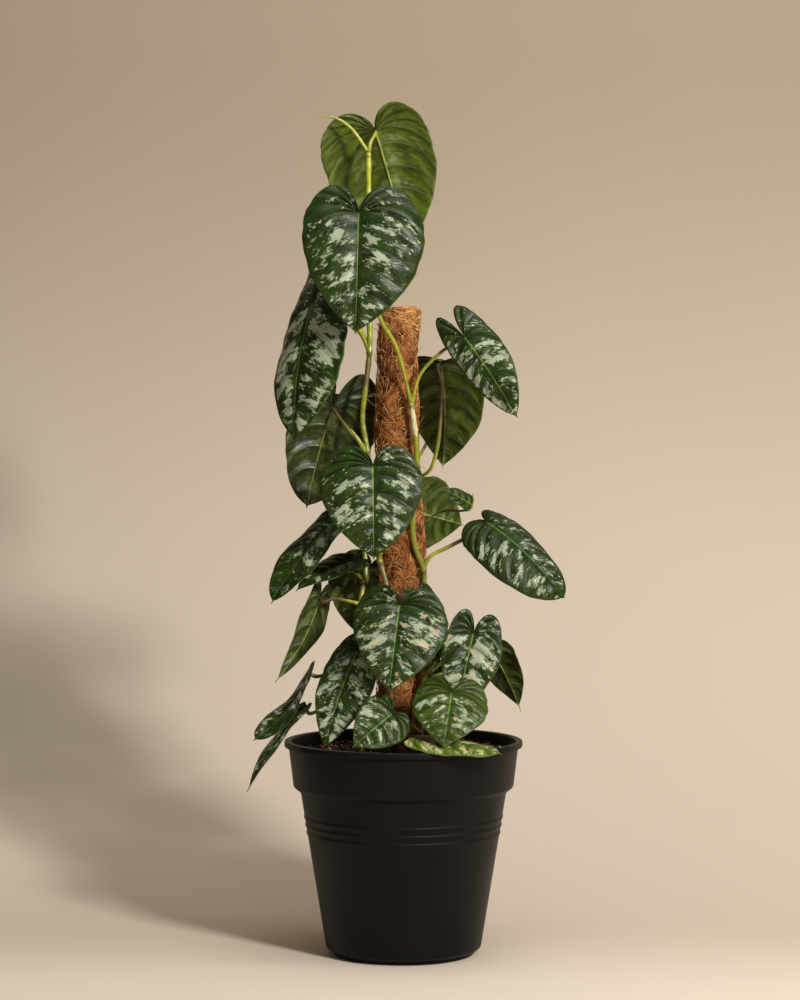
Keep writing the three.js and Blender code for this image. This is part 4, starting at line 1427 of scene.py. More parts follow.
@dataclass(frozen=True)
class Vine:
    """One climbing stem with the petioles and sheaths that grow from it.

    Attributes:
        path: Its points from the soil to its top.
        petioles: Its petioles by the names of their leaves.
        spikes: Its pointed sheaths.
        roots: Heights of the nodes that carry fine roots.
        papery: Heights between which old sheath clings to it.
        browned: Heights between which it has turned brown.
        foot_age: Age at its foot.
        top_age: Age at its top.
    """

    path: tuple[Point, ...]
    petioles: dict[str, Petiole]
    spikes: tuple[Spike, ...] = ()
    roots: tuple[float, ...] = ()
    papery: Pair = (0, 0)
    browned: Pair = (0, 0)
    foot_age: float = 0.85
    top_age: float = 0.3
    radius: float = 2.7
    petiole_radius: float = 1.7
    small_share: float = 0.7
    buried: float = 46
    stem_sides: int = 14
    petiole_sides: int = 12
    ring_swell: float = 0.55
    ring_neck: float = 0.3
    ring_age: float = 0.35
    petiole_straight: float = 7
    petiole_gap: float = 0.3
    foot_swell: float = 0.45
    joint_swell: float = 0.22
    root_sides: int = 6
    roots_a_node: int = 4
    step: float = 1.6

    def add_stem(self, batch: MeshBatch) -> None:
        """Adds the main stem, with a ring at each node.

        Args:
            batch: Takes the stem.
        """
        foot = np.asarray(self.path[0], float)
        path = stem_curve([tuple(foot - [0, 0, self.buried]), *self.path], self.step)
        reach = lengths_along(path)
        radii = np.full(len(path), self.radius)
        age = np.interp(path[:, 2], [foot[2], self.path[-1][2]], [self.foot_age, self.top_age])
        for petiole in self.petioles.values():
            at = reach[np.linalg.norm(path - np.asarray(petiole.start), axis=1).argmin()]
            radii = radii + self.ring_swell * swell(reach, at - 2, 3.2)
            radii = radii - self.ring_neck * swell(reach, at - 6, 1.2)
            age = age + self.ring_age * swell(reach, at - 5, 1.8)
        radii = radii + 0.12 * np.sin(reach / 5.3) + 0.1 * np.sin(reach / 2.1)
        radii[-6:] *= np.linspace(1, 0.55, 6)
        pale, browned = (
            smooth(low - 4, low + 4, path[:, 2]) * smooth(-high - 4, -high + 4, -path[:, 2])
            for low, high in (self.papery, self.browned)
        )
        self.add_tube(batch, path, radii, self.stem_sides, age + 0.45 * browned, pale)

    def add_tube(
        self, batch: MeshBatch, path: Array, radii: Array, sides: int, age: Array, pale: Array
    ) -> None:
        """Adds a round shoot whose age and paleness change along it.

        Args:
            batch: Takes the shoot.
            path: Its points.
            radii: Its radius at each point.
            sides: Sides of its section.
            age: Age at each point.
            pale: How papery it is at each point.
        """
        points, faces, share = tubes(path[None], radii[None], sides)
        stops = np.linspace(0, 1, len(path))
        values = [np.interp(share, stops, value) for value in (age, pale, np.zeros(len(path)))]
        batch.add(points, faces, 0, growth=np.stack(values, axis=1))

    def add_petiole(self, batch: MeshBatch, petiole: Petiole, leaf: Leaf) -> None:
        """Adds the stalk of one leaf, which ends square to the back of its blade.

        Args:
            batch: Takes the stalk.
            petiole: The stalk.
            leaf: Its leaf.
        """
        joint, _, normal = leaf.middle(np.zeros(1))
        thin = self.small_share if leaf.small else 1.0
        ends = [tuple(joint[0] - normal[0] * gap) for gap in (self.petiole_straight, self.petiole_gap)]
        path = stem_curve([petiole.start, *petiole.via, *ends], self.step)
        reach = lengths_along(path)
        total = reach[-1]
        radii = np.full(len(path), self.petiole_radius * thin)
        radii = radii * (1 + self.foot_swell * swell(reach, 0, 7))
        radii = radii * (1 + self.joint_swell * swell(total - reach, 5, 4))
        radii = radii * (1 + (petiole.broad - 1) * swell(reach / total, 0.4, 0.26))
        age = np.interp(reach / total, [0, 0.25, 0.55], [0.3, 0.18, petiole.dark])
        self.add_tube(batch, path, radii, self.petiole_sides, age, np.zeros(len(path)))

    def add_spike(self, batch: MeshBatch, spike: Spike) -> None:
        """Adds a sheath that narrows to a point.

        Args:
            batch: Takes the sheath.
            spike: The sheath.
        """
        path = stem_curve(spike.points, self.step)
        share = np.linspace(0, 1, len(path))
        radii = spike.radius * (1 + 0.3 * np.sin(np.pi * share)) * np.sqrt(np.maximum(1 - share**2, 0.004))
        self.add_tube(batch, path, radii, self.petiole_sides, 0.1 + 0.2 * share, np.zeros(len(path)))

    def add_roots(self, batch: MeshBatch, random: Random) -> None:
        """Adds fine brown roots that grow towards the pole at some of the nodes.

        Args:
            batch: Takes the roots.
            random: Source of their random turns.
        """
        path = stem_curve(self.path, self.step)
        for height in self.roots:
            at = path[np.abs(path[:, 2] - height).argmin()]
            for _ in range(self.roots_a_node):
                inward = unit(np.array([-at[0], -at[1], 0.0]))
                heading = unit(inward + random.normal(0, 0.5, 3) + [0, 0, -0.3])
                length = random.uniform(7, 17)
                t = np.linspace(0, 1, 10)[:, None]
                curl = random.normal(0, 3.5, 3) * np.sin(2.6 * t) * t
                root = at + heading * length * t + curl
                radii = np.linspace(0.5, 0.2, 10)
                self.add_tube(batch, root, radii, self.root_sides, np.full(10, 0.8), np.zeros(10))

    def build(self, name: str, material: Material, random: Random) -> None:
        """Builds the stem's piece in place of its node.

        Args:
            name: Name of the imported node.
            material: The stem's finish.
            random: Source of the roots' random turns.
        """
        batch = MeshBatch()
        self.add_stem(batch)
        for leaf, petiole in self.petioles.items():
            self.add_petiole(batch, petiole, LEAVES[leaf])
        for spike in self.spikes:
            self.add_spike(batch, spike)
        self.add_roots(batch, random)
        settle(batch.build(f"{name}_shoot", [material]), Slot.STEM, name)


VINES = {
    "vine_left": Vine(
        path=(
            (-14, -33, 203), (-13, -32, 260), (-14, -30, 330), (-17, -27, 372), (-24, -23, 398),
            (-33, -22, 440), (-36, -17, 505), (-41, -15, 537), (-37, -14, 577), (-34, -12, 607),
            (-34, -10, 640), (-35, -9, 700), (-35, -8, 762), (-35, -8, 807),
        ),
        petioles={
            "leaf_crown_back": Petiole((-35, -8, 805), ((-33, -8, 815),)),
            "leaf_upper_left": Petiole((-34, -12, 606), ((-44, -6, 627), (-60, 2, 640), (-78, 2, 650)), 2.4),
            "leaf_upper_left_back": Petiole((-37, -17, 508), ((-52, -14, 524), (-66, -8, 542)), dark=0.8),
            "leaf_middle_front": Petiole((-24, -23, 398), ((-22, -40, 420), (-26, -52, 455))),
            "leaf_low_front": Petiole((-13, -31, 290), ((-10, -44, 312), (-6, -58, 340))),
            "leaf_back_high": Petiole((-35, -10, 668), ((-38, 8, 688), (-41, 26, 710), (-40, 34, 738))),
        },
        spikes=(
            Spike(((-35, -8, 805), (-53, -12, 829), (-67, -16, 838), (-85, -20, 841))),
            Spike(((-37, -17, 500), (-42, -20, 512), (-53, -22, 529)), 2.0),
        ),
        roots=(330, 372, 470, 560),
        browned=(570, 597),
        foot_age=0.8,
        top_age=0.0,
    ),
    "vine_right": Vine(
        path=(
            (28, -18, 203), (27, -18, 260), (24, -18, 320), (21, -18, 372), (20, -19, 388),
            (12, -23, 409), (9, -25, 430), (12, -25, 465), (13, -25, 502), (11, -26, 530), (7, -27, 557),
        ),
        petioles={
            "leaf_crown_front": Petiole(
                (7, -27, 556),
                ((1, -34, 582), (-8, -46, 611), (-23, -56, 637), (-34, -60, 680), (-42, -64, 722)),
                1.25,
            ),
            "leaf_upper_right": Petiole(
                (8, -27, 553), ((16, -29, 581), (28, -30, 596), (48, -30, 612)), dark=0.6
            ),
            "leaf_arm_right": Petiole(
                (20, -19, 389), ((27, -22, 401), (44, -23, 410), (64, -22, 420)), 1.2, 1.0
            ),
            "leaf_low_shaded": Petiole((23, -18, 340), ((20, -24, 350),)),
            "leaf_low_right_back": Petiole((26, -18, 285), ((42, -8, 296), (66, 2, 310)), dark=0.7),
        },
        roots=(300, 372, 384, 430, 520),
        papery=(520, 549),
        foot_age=0.8,
        top_age=0.2,
    ),
    "vine_back": Vine(
        path=(
            (14, 30, 203), (14, 30, 260), (14, 29, 330), (15, 28, 400), (14, 27, 440), (12, 27, 480),
            (9, 28, 520), (4, 30, 555),
        ),
        petioles={
            "leaf_upper_right_back": Petiole(
                (12, 27, 478), ((26, 14, 486), (33, 4, 505), (37, 0, 535), (38, 4, 575)), 1.2, 0.9
            ),
            "leaf_middle_right_back": Petiole((14, 27, 438), ((11, 34, 443),)),
            "leaf_small_right": Petiole(
                (14, 27, 430), ((26, 12, 438), (42, -2, 446), (58, -4, 446), (66, -4, 448)), dark=1.0
            ),
            "leaf_back_left": Petiole((4, 30, 553), ((-10, 34, 560), (-34, 40, 554))),
            "leaf_back_right": Petiole(
                (11, 27, 492), ((15, 44, 498), (25, 59, 516), (40, 61, 550), (49, 58, 578))
            ),
            "leaf_back_middle": Petiole((15, 28, 405), ((4, 40, 440), (-8, 52, 466))),
            "leaf_back_low": Petiole((14, 30, 290), ((4, 44, 312), (-14, 52, 326))),
            "leaf_back_soil": Petiole((14, 30, 250), ((26, 40, 272),)),
        },
        spikes=(Spike(((58, -4, 446), (68, -1, 448), (70, -1, 465)), 1.0),),
        roots=(270, 380, 440, 500),
    ),
    "vine_low_left": Vine(
        path=(
            (-42, -14, 203), (-45, -12, 250), (-46, -10, 300), (-43, -4, 355), (-38, 7, 385), (-40, 13, 412),
        ),
        petioles={
            "leaf_middle_left": Petiole((-40, 13, 410), ((-48, 9, 432),)),
            "leaf_folded_left": Petiole((-39, 5, 376), ((-46, 2, 382),), dark=0.8),
            "leaf_striped_left": Petiole((-39, 4, 374), ((-36, 12, 379), (-34, 18, 386))),
            "leaf_hanging_left": Petiole((-43, -5, 352), ((-56, -10, 356), (-72, -18, 358)), dark=0.9),
            "leaf_low_left": Petiole((-46, -11, 270), ((-46, -28, 290), (-45, -42, 304))),
            "leaf_outer_left_high": Petiole((-46, -11, 276), ((-60, -18, 280), (-78, -22, 282)), dark=0.6),
            "leaf_outer_left_low": Petiole((-44, -13, 236), ((-60, -28, 246), (-80, -42, 250)), dark=0.6),
        },
        roots=(300, 360),
    ),
    "vine_low_right": Vine(
        path=((16, -42, 203), (17, -38, 235), (19, -33, 265), (23, -28, 288)),
        petioles={
            "leaf_low_right_high": Petiole((23, -28, 286), ((40, -30, 306), (56, -34, 316))),
            "leaf_low_right_front": Petiole((18, -36, 248), ((28, -50, 260), (40, -66, 266))),
            "leaf_soil_front": Petiole((17, -39, 226), ((4, -52, 238), (-8, -60, 246))),
            "leaf_on_rim": Petiole((16, -41, 212), ((10, -60, 214), (8, -78, 217))),
        },
        roots=(240,),
    ),
}


@dataclass(frozen=True)
class CoirPole:
    """The coir wrap round its stake, with its loose fibres."""

    bottom: float = 50
    top: float = 650
    radius: float = 22.4
    top_radius: float = 19.5
    shoulder: float = 8
    centre: tuple[Pair, ...] = (
        (50, -4), (300, -4), (400, -1), (530, -7), (615, -6), (650, -1),
    )
    roll: tuple[Pair, ...] = (
        (0.99, 6), (0.95, 3.8), (0.88, 1.9), (0.78, 0.7), (0.65, 0), (0.45, 0.8), (0.22, 3), (0, 6.5),
    )
    lump: float = 0.75
    bore: float = 9.3
    stake_x: float = -4
    headroom: float = 14
    soil_top: float = 203
    sides: int = 120
    row: float = 3.2
    fibres: int = 5200
    strays: int = 170
    curls: int = 380
    fibre_radius: float = 0.3
    wound_depth: float = 24
    wound_share: float = 0.75
    fibre_steps: int = 5
    curl_steps: int = 8
    stray_length: Pair = (10, 26)
    stray_lift: Pair = (2, 8.5)

    def centre_at(self, height: Array) -> Array:
        """Returns how far to the side the wrap's middle stands at a height."""
        heights, shifts = zip(*self.centre)
        return np.interp(height, heights, shifts)

    def skin(self, turn: Array, height: Array) -> Array:
        """Gives the wrap's uneven radius.

        Args:
            turn: Turns about its axis.
            height: Heights.

        Returns:
            The radius at each.
        """
        share = (height - self.bottom) / (self.top - self.shoulder - self.bottom)
        plain = self.radius + (self.top_radius - self.radius) * np.clip(share - 0.5, 0, 0.5) * 2
        wave = np.sin(2 * turn + 0.05 * height)
        wave = wave + np.sin(3 * turn - 0.11 * height) * np.sin(0.07 * height + 1)
        above = smooth(self.soil_top - 5, self.soil_top + 10, height)
        return plain * (1 + above * self.lump * wave / self.radius)

    def add_core(self, batch: MeshBatch) -> None:
        """Adds the matted sleeve, bored for the stake from below.

        Args:
            batch: Takes the sleeve.
        """
        edge = self.top - self.shoulder
        rows = round((edge - self.bottom) / self.row)
        heights = np.linspace(self.bottom, edge, rows)
        roll_heights = [self.top - drop for _, drop in self.roll]
        bore_top = self.top - self.headroom
        radii = np.concatenate([[0, self.bore, self.bore], np.ones(rows), [share for share, _ in self.roll]])
        levels = np.concatenate([[bore_top, bore_top, self.bottom], heights, roll_heights])
        points, faces = lathe(np.stack([radii, levels], axis=1), self.sides)
        ring = np.concatenate([[0], np.repeat(np.arange(1, len(radii) - 1), self.sides), [len(radii) - 1]])
        turn = np.arctan2(points[:, 1], points[:, 0])
        outside = ring > 2
        flat = np.stack([np.cos(turn), np.sin(turn), np.zeros_like(turn)], axis=1)
        reach = self.skin(turn, np.minimum(points[:, 2], edge)) * radii[ring]
        surface = flat * reach[:, None] + [0, 0, 1] * points[:, 2:]
        rough = lumps(surface, 9, 5) * 0.9 + lumps(surface, 2.2, 6) * 0.45 - 0.7
        pushed = surface + flat * (rough * radii[ring])[:, None]
        pushed[:, 2] += np.where(ring > 2 + rows, lumps(surface, 4, 7) * 0.6, 0)
        points = np.where(outside[:, None], pushed, points)
        points[:, 0] += np.where(outside, self.centre_at(points[:, 2]), self.stake_x)
        # Painted shade: the pits between the lumps and the whole bore are set to darken, less so at the
        # crown; the tone is lighter on the raised lumps and at the crown, where straw fibres are wound.
        pit_shade = np.where(outside, smooth(-0.5, -1.9, rough), 1.0)
        crown = smooth(self.top - 32, self.top - 16, points[:, 2])
        light = 0.5 + 0.2 * rough + 0.35 * crown
        values = [light, pit_shade * (1 - 0.5 * crown), np.zeros_like(pit_shade)]
        batch.add(points, faces, 0, tone=np.stack(values, axis=1))

    def add_fibres(self, batch: MeshBatch, random: Random) -> None:
        """Adds fibres that lie tangled on the wrap, and strays that stand off it.

        Args:
            batch: Takes the fibres.
            random: Source of their random places.
        """
        count = self.fibres + self.strays
        steps = self.fibre_steps
        stray = np.arange(count) >= self.fibres
        turn = random.uniform(0, 2 * np.pi, count)
        height = random.uniform(self.soil_top - 2, self.top - 3, count)
        spot = np.stack([np.cos(turn) * self.radius, np.sin(turn) * self.radius, height], axis=1)
        heading = np.pi / 2 + 1.2 * lumps(spot, 20, 11) + random.normal(0, 0.75, count)
        wound = (height > self.top - self.wound_depth) & (random.uniform(0, 1, count) < self.wound_share)
        heading = np.where(wound, random.normal(0, 0.3, count), heading)
        length = np.where(stray, random.uniform(*self.stray_length, count), random.gamma(5, 2.1, count) + 2)
        bend = random.normal(0, 0.09, count)
        lift = np.where(stray, random.uniform(*self.stray_lift, count), random.exponential(0.35, count))
        rise = random.uniform(0.0, 1.0, count)
        path = np.empty((count, steps, 3))
        for step in range(steps):
            share = step / (steps - 1)
            radius = self.skin(turn, height) + rise + 0.5 * math.sin(math.pi * share)
            radius = radius + lift * share**2 + random.normal(0, 0.12, count)
            path[:, step, 0] = radius * np.cos(turn) + self.centre_at(height)
            path[:, step, 1] = radius * np.sin(turn)
            path[:, step, 2] = np.clip(height, self.soil_top - 4, self.top - 1)
            ahead = length / (steps - 1)
            turn = turn + np.cos(heading) * ahead / self.radius
            height = height + np.sin(heading) * ahead
            heading = heading + bend * ahead + random.normal(0, 0.12, count)
        thick = self.fibre_radius * random.uniform(0.5, 1.35, (count, 1))
        taper = np.interp(np.linspace(0, 1, steps), [0, 0.25, 0.75, 1], [0.6, 1, 0.9, 0.4])
        tone = np.clip(random.normal(0.6, 0.27, count) + 0.12 * rise + 0.4 * wound, 0.05, 1.3)
        self.add_strands(batch, path, thick * taper, tone)

    def add_curls(self, batch: MeshBatch, random: Random) -> None:
        """Adds fibres that curl round the rolled top.

        Args:
            batch: Takes the fibres.
            random: Source of their random places.
        """
        steps = self.curl_steps
        shares = np.sort(np.array([share for share, _ in self.roll]))
        drops = np.array([drop for _, drop in sorted(self.roll)])
        ring = np.sqrt(random.uniform(0.01, 0.9, self.curls))
        turn = random.uniform(0, 2 * np.pi, self.curls)
        sweep = random.uniform(0.5, 1.6, self.curls) * random.choice([1, 1, -1], self.curls)
        drift = random.normal(0, 0.1, self.curls)
        rise = random.uniform(-0.3, 1.0, self.curls)
        path = np.empty((self.curls, steps, 3))
        for step in range(steps):
            share = step / (steps - 1)
            here = np.clip(ring + drift * share, 0.02, 1.0)
            level = self.top - np.interp(here, shares, drops) + rise
            angle = turn + sweep * share
            path[:, step, 0] = here * self.top_radius * np.cos(angle) + self.centre_at(level)
            path[:, step, 1] = here * self.top_radius * np.sin(angle)
            path[:, step, 2] = level + random.normal(0, 0.15, self.curls)
        radii = self.fibre_radius * random.uniform(0.6, 1.4, (self.curls, 1)) * np.ones(steps)
        self.add_strands(batch, path, radii, np.clip(random.normal(0.85, 0.2, self.curls), 0.2, 1.3))

    @staticmethod
    def add_strands(batch: MeshBatch, path: Array, radii: Array, tone: Array) -> None:
        """Adds a set of three-sided strands.

        Args:
            batch: Takes the strands.
            path: Points, as strands by steps by 3.
            radii: Radii, as strands by steps.
            tone: How light each strand is.
        """
        points, faces, _ = tubes(path, radii, 3)
        each = len(points) // len(path)
        light = np.repeat(tone, each)
        zero = np.zeros_like(light)
        batch.add(points, faces, 0, tone=np.stack([light, zero, zero], axis=1))

    def build(self, finishes: dict[str, Material], random: Random) -> None:
        """Builds the wrap and its fibres in place of the node, and dresses the stake.

        Args:
            finishes: The materials by name.
            random: Source of the fibres' random places.
        """
        core = MeshBatch()
        self.add_core(core)
        settle(core.build("coir_wrap", [finishes["coir_mat"]]), Slot.COIR, "coir_pole")
        loose = MeshBatch()
        self.add_fibres(loose, random)
        self.add_curls(loose, random)
        settle(loose.build("coir_fibres", [finishes["coir_fibre"]]), Slot.COIR)
        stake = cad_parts["pole_stake"]
        stake.data.materials.clear()
        stake.data.materials.append(finishes["stake"])
        LOG.info("pole_stake: dressed")


@dataclass(frozen=True)
class Pot:
    """The tapered plastic pot."""

    height: float = 215
    lip_radius: float = 120
    lip_height: float = 6
    lip_round: float = 1.5
    lip_underside: float = 2
    collar_top_radius: float = 115.5
    collar_bottom_radius: float = 111
    collar_bottom: float = 170
    shoulder_radius: float = 103.5
    shoulder: float = 162
    foot_body_radius: float = 78.6
    foot_body: float = 9
    foot_radius: float = 71
    foot_height: float = 4
    wall: float = 2.4
    inner_drop: float = 4
    floor_corner: float = 4
    ribs: tuple[float, ...] = (122, 130, 138)
    rib_height: float = 0.8
    rib_width: float = 4
    pad_radius: float = 14
    foot_ring_width: float = 5
    notch_count: int = 4
    notch_width: float = 13.7
    notch_height: float = 3.6
    notch_angle: float = -118.6
    drain_count: int = 6
    drain_radius: float = 5
    drain_ring: float = 48
    edge: float = 0.4
    bevel: float = 1.2
    sides: int = 192
    corner_steps: int = 8
    bend_steps: int = 9
    sharp_angle: float = 38

    @property
    def floor_top(self) -> float:
        """Returns the height of the pot's floor inside."""
        return self.foot_height + self.wall

    def wall_radius(self, height: Array) -> Array:
        """Returns the radius of the outside below the collar."""
        radii = [self.foot_body_radius, self.shoulder_radius]
        return np.interp(height, [self.foot_body, self.shoulder], radii)

    def corner(self, centre: Pair, size: Pair, start: float, end: float) -> list:
        """Gives the points of an elliptic corner.

        Args:
            centre: Radius and height of its centre.
            size: Its two half axes.
            start: First angle, in degrees.
            end: Last angle, in degrees.

        Returns:
            Pairs of radius and height.
        """
        angles = np.radians(np.linspace(start, end, self.corner_steps))
        return [(centre[0] + size[0] * math.cos(a), centre[1] + size[1] * math.sin(a)) for a in angles]

    def outside(self) -> list:
        """Follows the outside from the foot ring to the top of the lip.

        Returns:
            Pairs of radius and height.
        """
        ring = self.foot_radius - self.foot_ring_width
        foot = self.corner(
            (self.foot_radius, self.foot_body),
            (self.foot_body_radius - self.foot_radius, self.foot_body - self.foot_height), -90, 0,
        )
        points = [(ring, self.foot_height), (ring, self.edge), (ring + self.edge, 0)]
        points += [(self.foot_radius - self.edge, 0), (self.foot_radius, self.edge), *foot]
        for rib in self.ribs:
            across = np.linspace(-1, 1, self.bend_steps)
            heights = rib + across * self.rib_width / 2
            rise = self.rib_height * np.cos(across * np.pi / 2) ** 0.6
            points += list(zip(self.wall_radius(heights) + rise, heights))
        share = np.linspace(0, 1, self.bend_steps)
        step = smooth(0, 1, share)
        points += list(zip(
            self.shoulder_radius + (self.collar_bottom_radius - self.shoulder_radius) * step,
            self.shoulder + (self.collar_bottom - self.shoulder) * share,
        ))
        under = self.height - self.lip_height
        points += [
            (self.collar_top_radius, under - self.lip_underside),
            (self.collar_top_radius + self.bevel, under - 1),
            (self.lip_radius - self.bevel / 2, under),
        ]
        low_corner = (self.lip_radius - self.bevel, under + self.bevel)
        points += self.corner(low_corner, (self.bevel, self.bevel), -60, 0)
        size = (self.lip_round, self.lip_round)
        points += self.corner((self.lip_radius - self.lip_round, self.height - self.lip_round), size, 0, 90)
        return points

    def inside(self) -> list:
        """Follows the inside from the lip down to the floor.

        Returns:
            Pairs of radius and height.
        """
        rim = self.collar_top_radius - self.wall
        size = (self.lip_round, self.lip_round)
        points = self.corner((rim + self.lip_round, self.height - self.lip_round), size, 90, 180)
        floor = self.foot_body_radius - self.wall
        return points + [
            (self.collar_bottom_radius - self.wall, self.collar_bottom),
            (self.shoulder_radius - self.wall, self.shoulder - self.inner_drop),
            (floor, self.floor_top + self.floor_corner),
            (floor - self.bevel, self.floor_top + self.bevel),
            (floor - self.floor_corner, self.floor_top),
        ]

    def cutters(self) -> bpy.types.Object:
        """Makes the shapes that are cut from the foot: notches and drain holes.

        Returns:
            One object of them all.
        """
        batch = MeshBatch()
        for turn in range(self.notch_count):
            angle = math.radians(self.notch_angle + 360 / self.notch_count * turn)
            out = np.array([math.cos(angle), math.sin(angle), 0])
            over = np.array([-out[1], out[0], 0])
            share = np.linspace(0, np.pi, 12)
            arch_height = np.sin(share) ** 0.35 * self.notch_height
            arch = np.stack([np.cos(share) * self.notch_width / 2, arch_height], axis=1)
            loop = np.concatenate([arch, [[-self.notch_width / 2, -3], [self.notch_width / 2, -3]]])
            flat = over * loop[:, :1] + [0, 0, 1] * loop[:, 1:]
            near, far = (flat + out * (self.foot_radius + shift) for shift in (-10, 12))
            count = len(loop)
            ring = np.arange(count)
            after = (ring + 1) % count
            middle = np.full(count, 2 * count)
            none = np.full(count, -1)
            faces = np.concatenate([
                np.stack([ring, ring + count, after + count, after], axis=1),
                np.stack([after, middle, ring, none], axis=1),
                np.stack([ring + count, middle + 1, after + count, none], axis=1),
            ])
            centres = np.stack([near.mean(axis=0), far.mean(axis=0)])
            batch.add(np.concatenate([near, far, centres]), faces)
        for turn in range(self.drain_count):
            angle = 2 * np.pi * turn / self.drain_count
            profile = np.array([(0, -3), (self.drain_radius, -3), (self.drain_radius, 20), (0, 20)], float)
            points, faces = lathe(profile, 32)
            shift = [self.drain_ring * math.cos(angle), self.drain_ring * math.sin(angle), 0]
            batch.add(points + shift, faces)
        return batch.build("pot_cutters", [])

    def build(self, material: Material) -> None:
        """Builds the pot in place of its node.

        Args:
            material: The pot's finish.
        """
        profile = [
            (0, 0), (self.pad_radius - self.edge, 0), (self.pad_radius, self.edge),
            (self.pad_radius, self.foot_height), *self.outside(), *self.inside(), (0, self.floor_top),
        ]
        batch = MeshBatch()
        batch.add(*lathe(np.array(profile), self.sides))
        piece = batch.build("pot_shell", [material])
        cutters = self.cutters()
        cut = piece.modifiers.new("cut", "BOOLEAN")
        cut.object = cutters
        cut.solver = "EXACT"
        evaluated = piece.evaluated_get(bpy.context.evaluated_depsgraph_get())
        mesh = bpy.data.meshes.new_from_object(evaluated)
        piece.modifiers.clear()
        piece.data = mesh
        bpy.data.objects.remove(cutters)
        mesh.shade_smooth()
        mesh.set_sharp_from_angle(angle=math.radians(self.sharp_angle))
        settle(piece, Slot.POT, "pot")


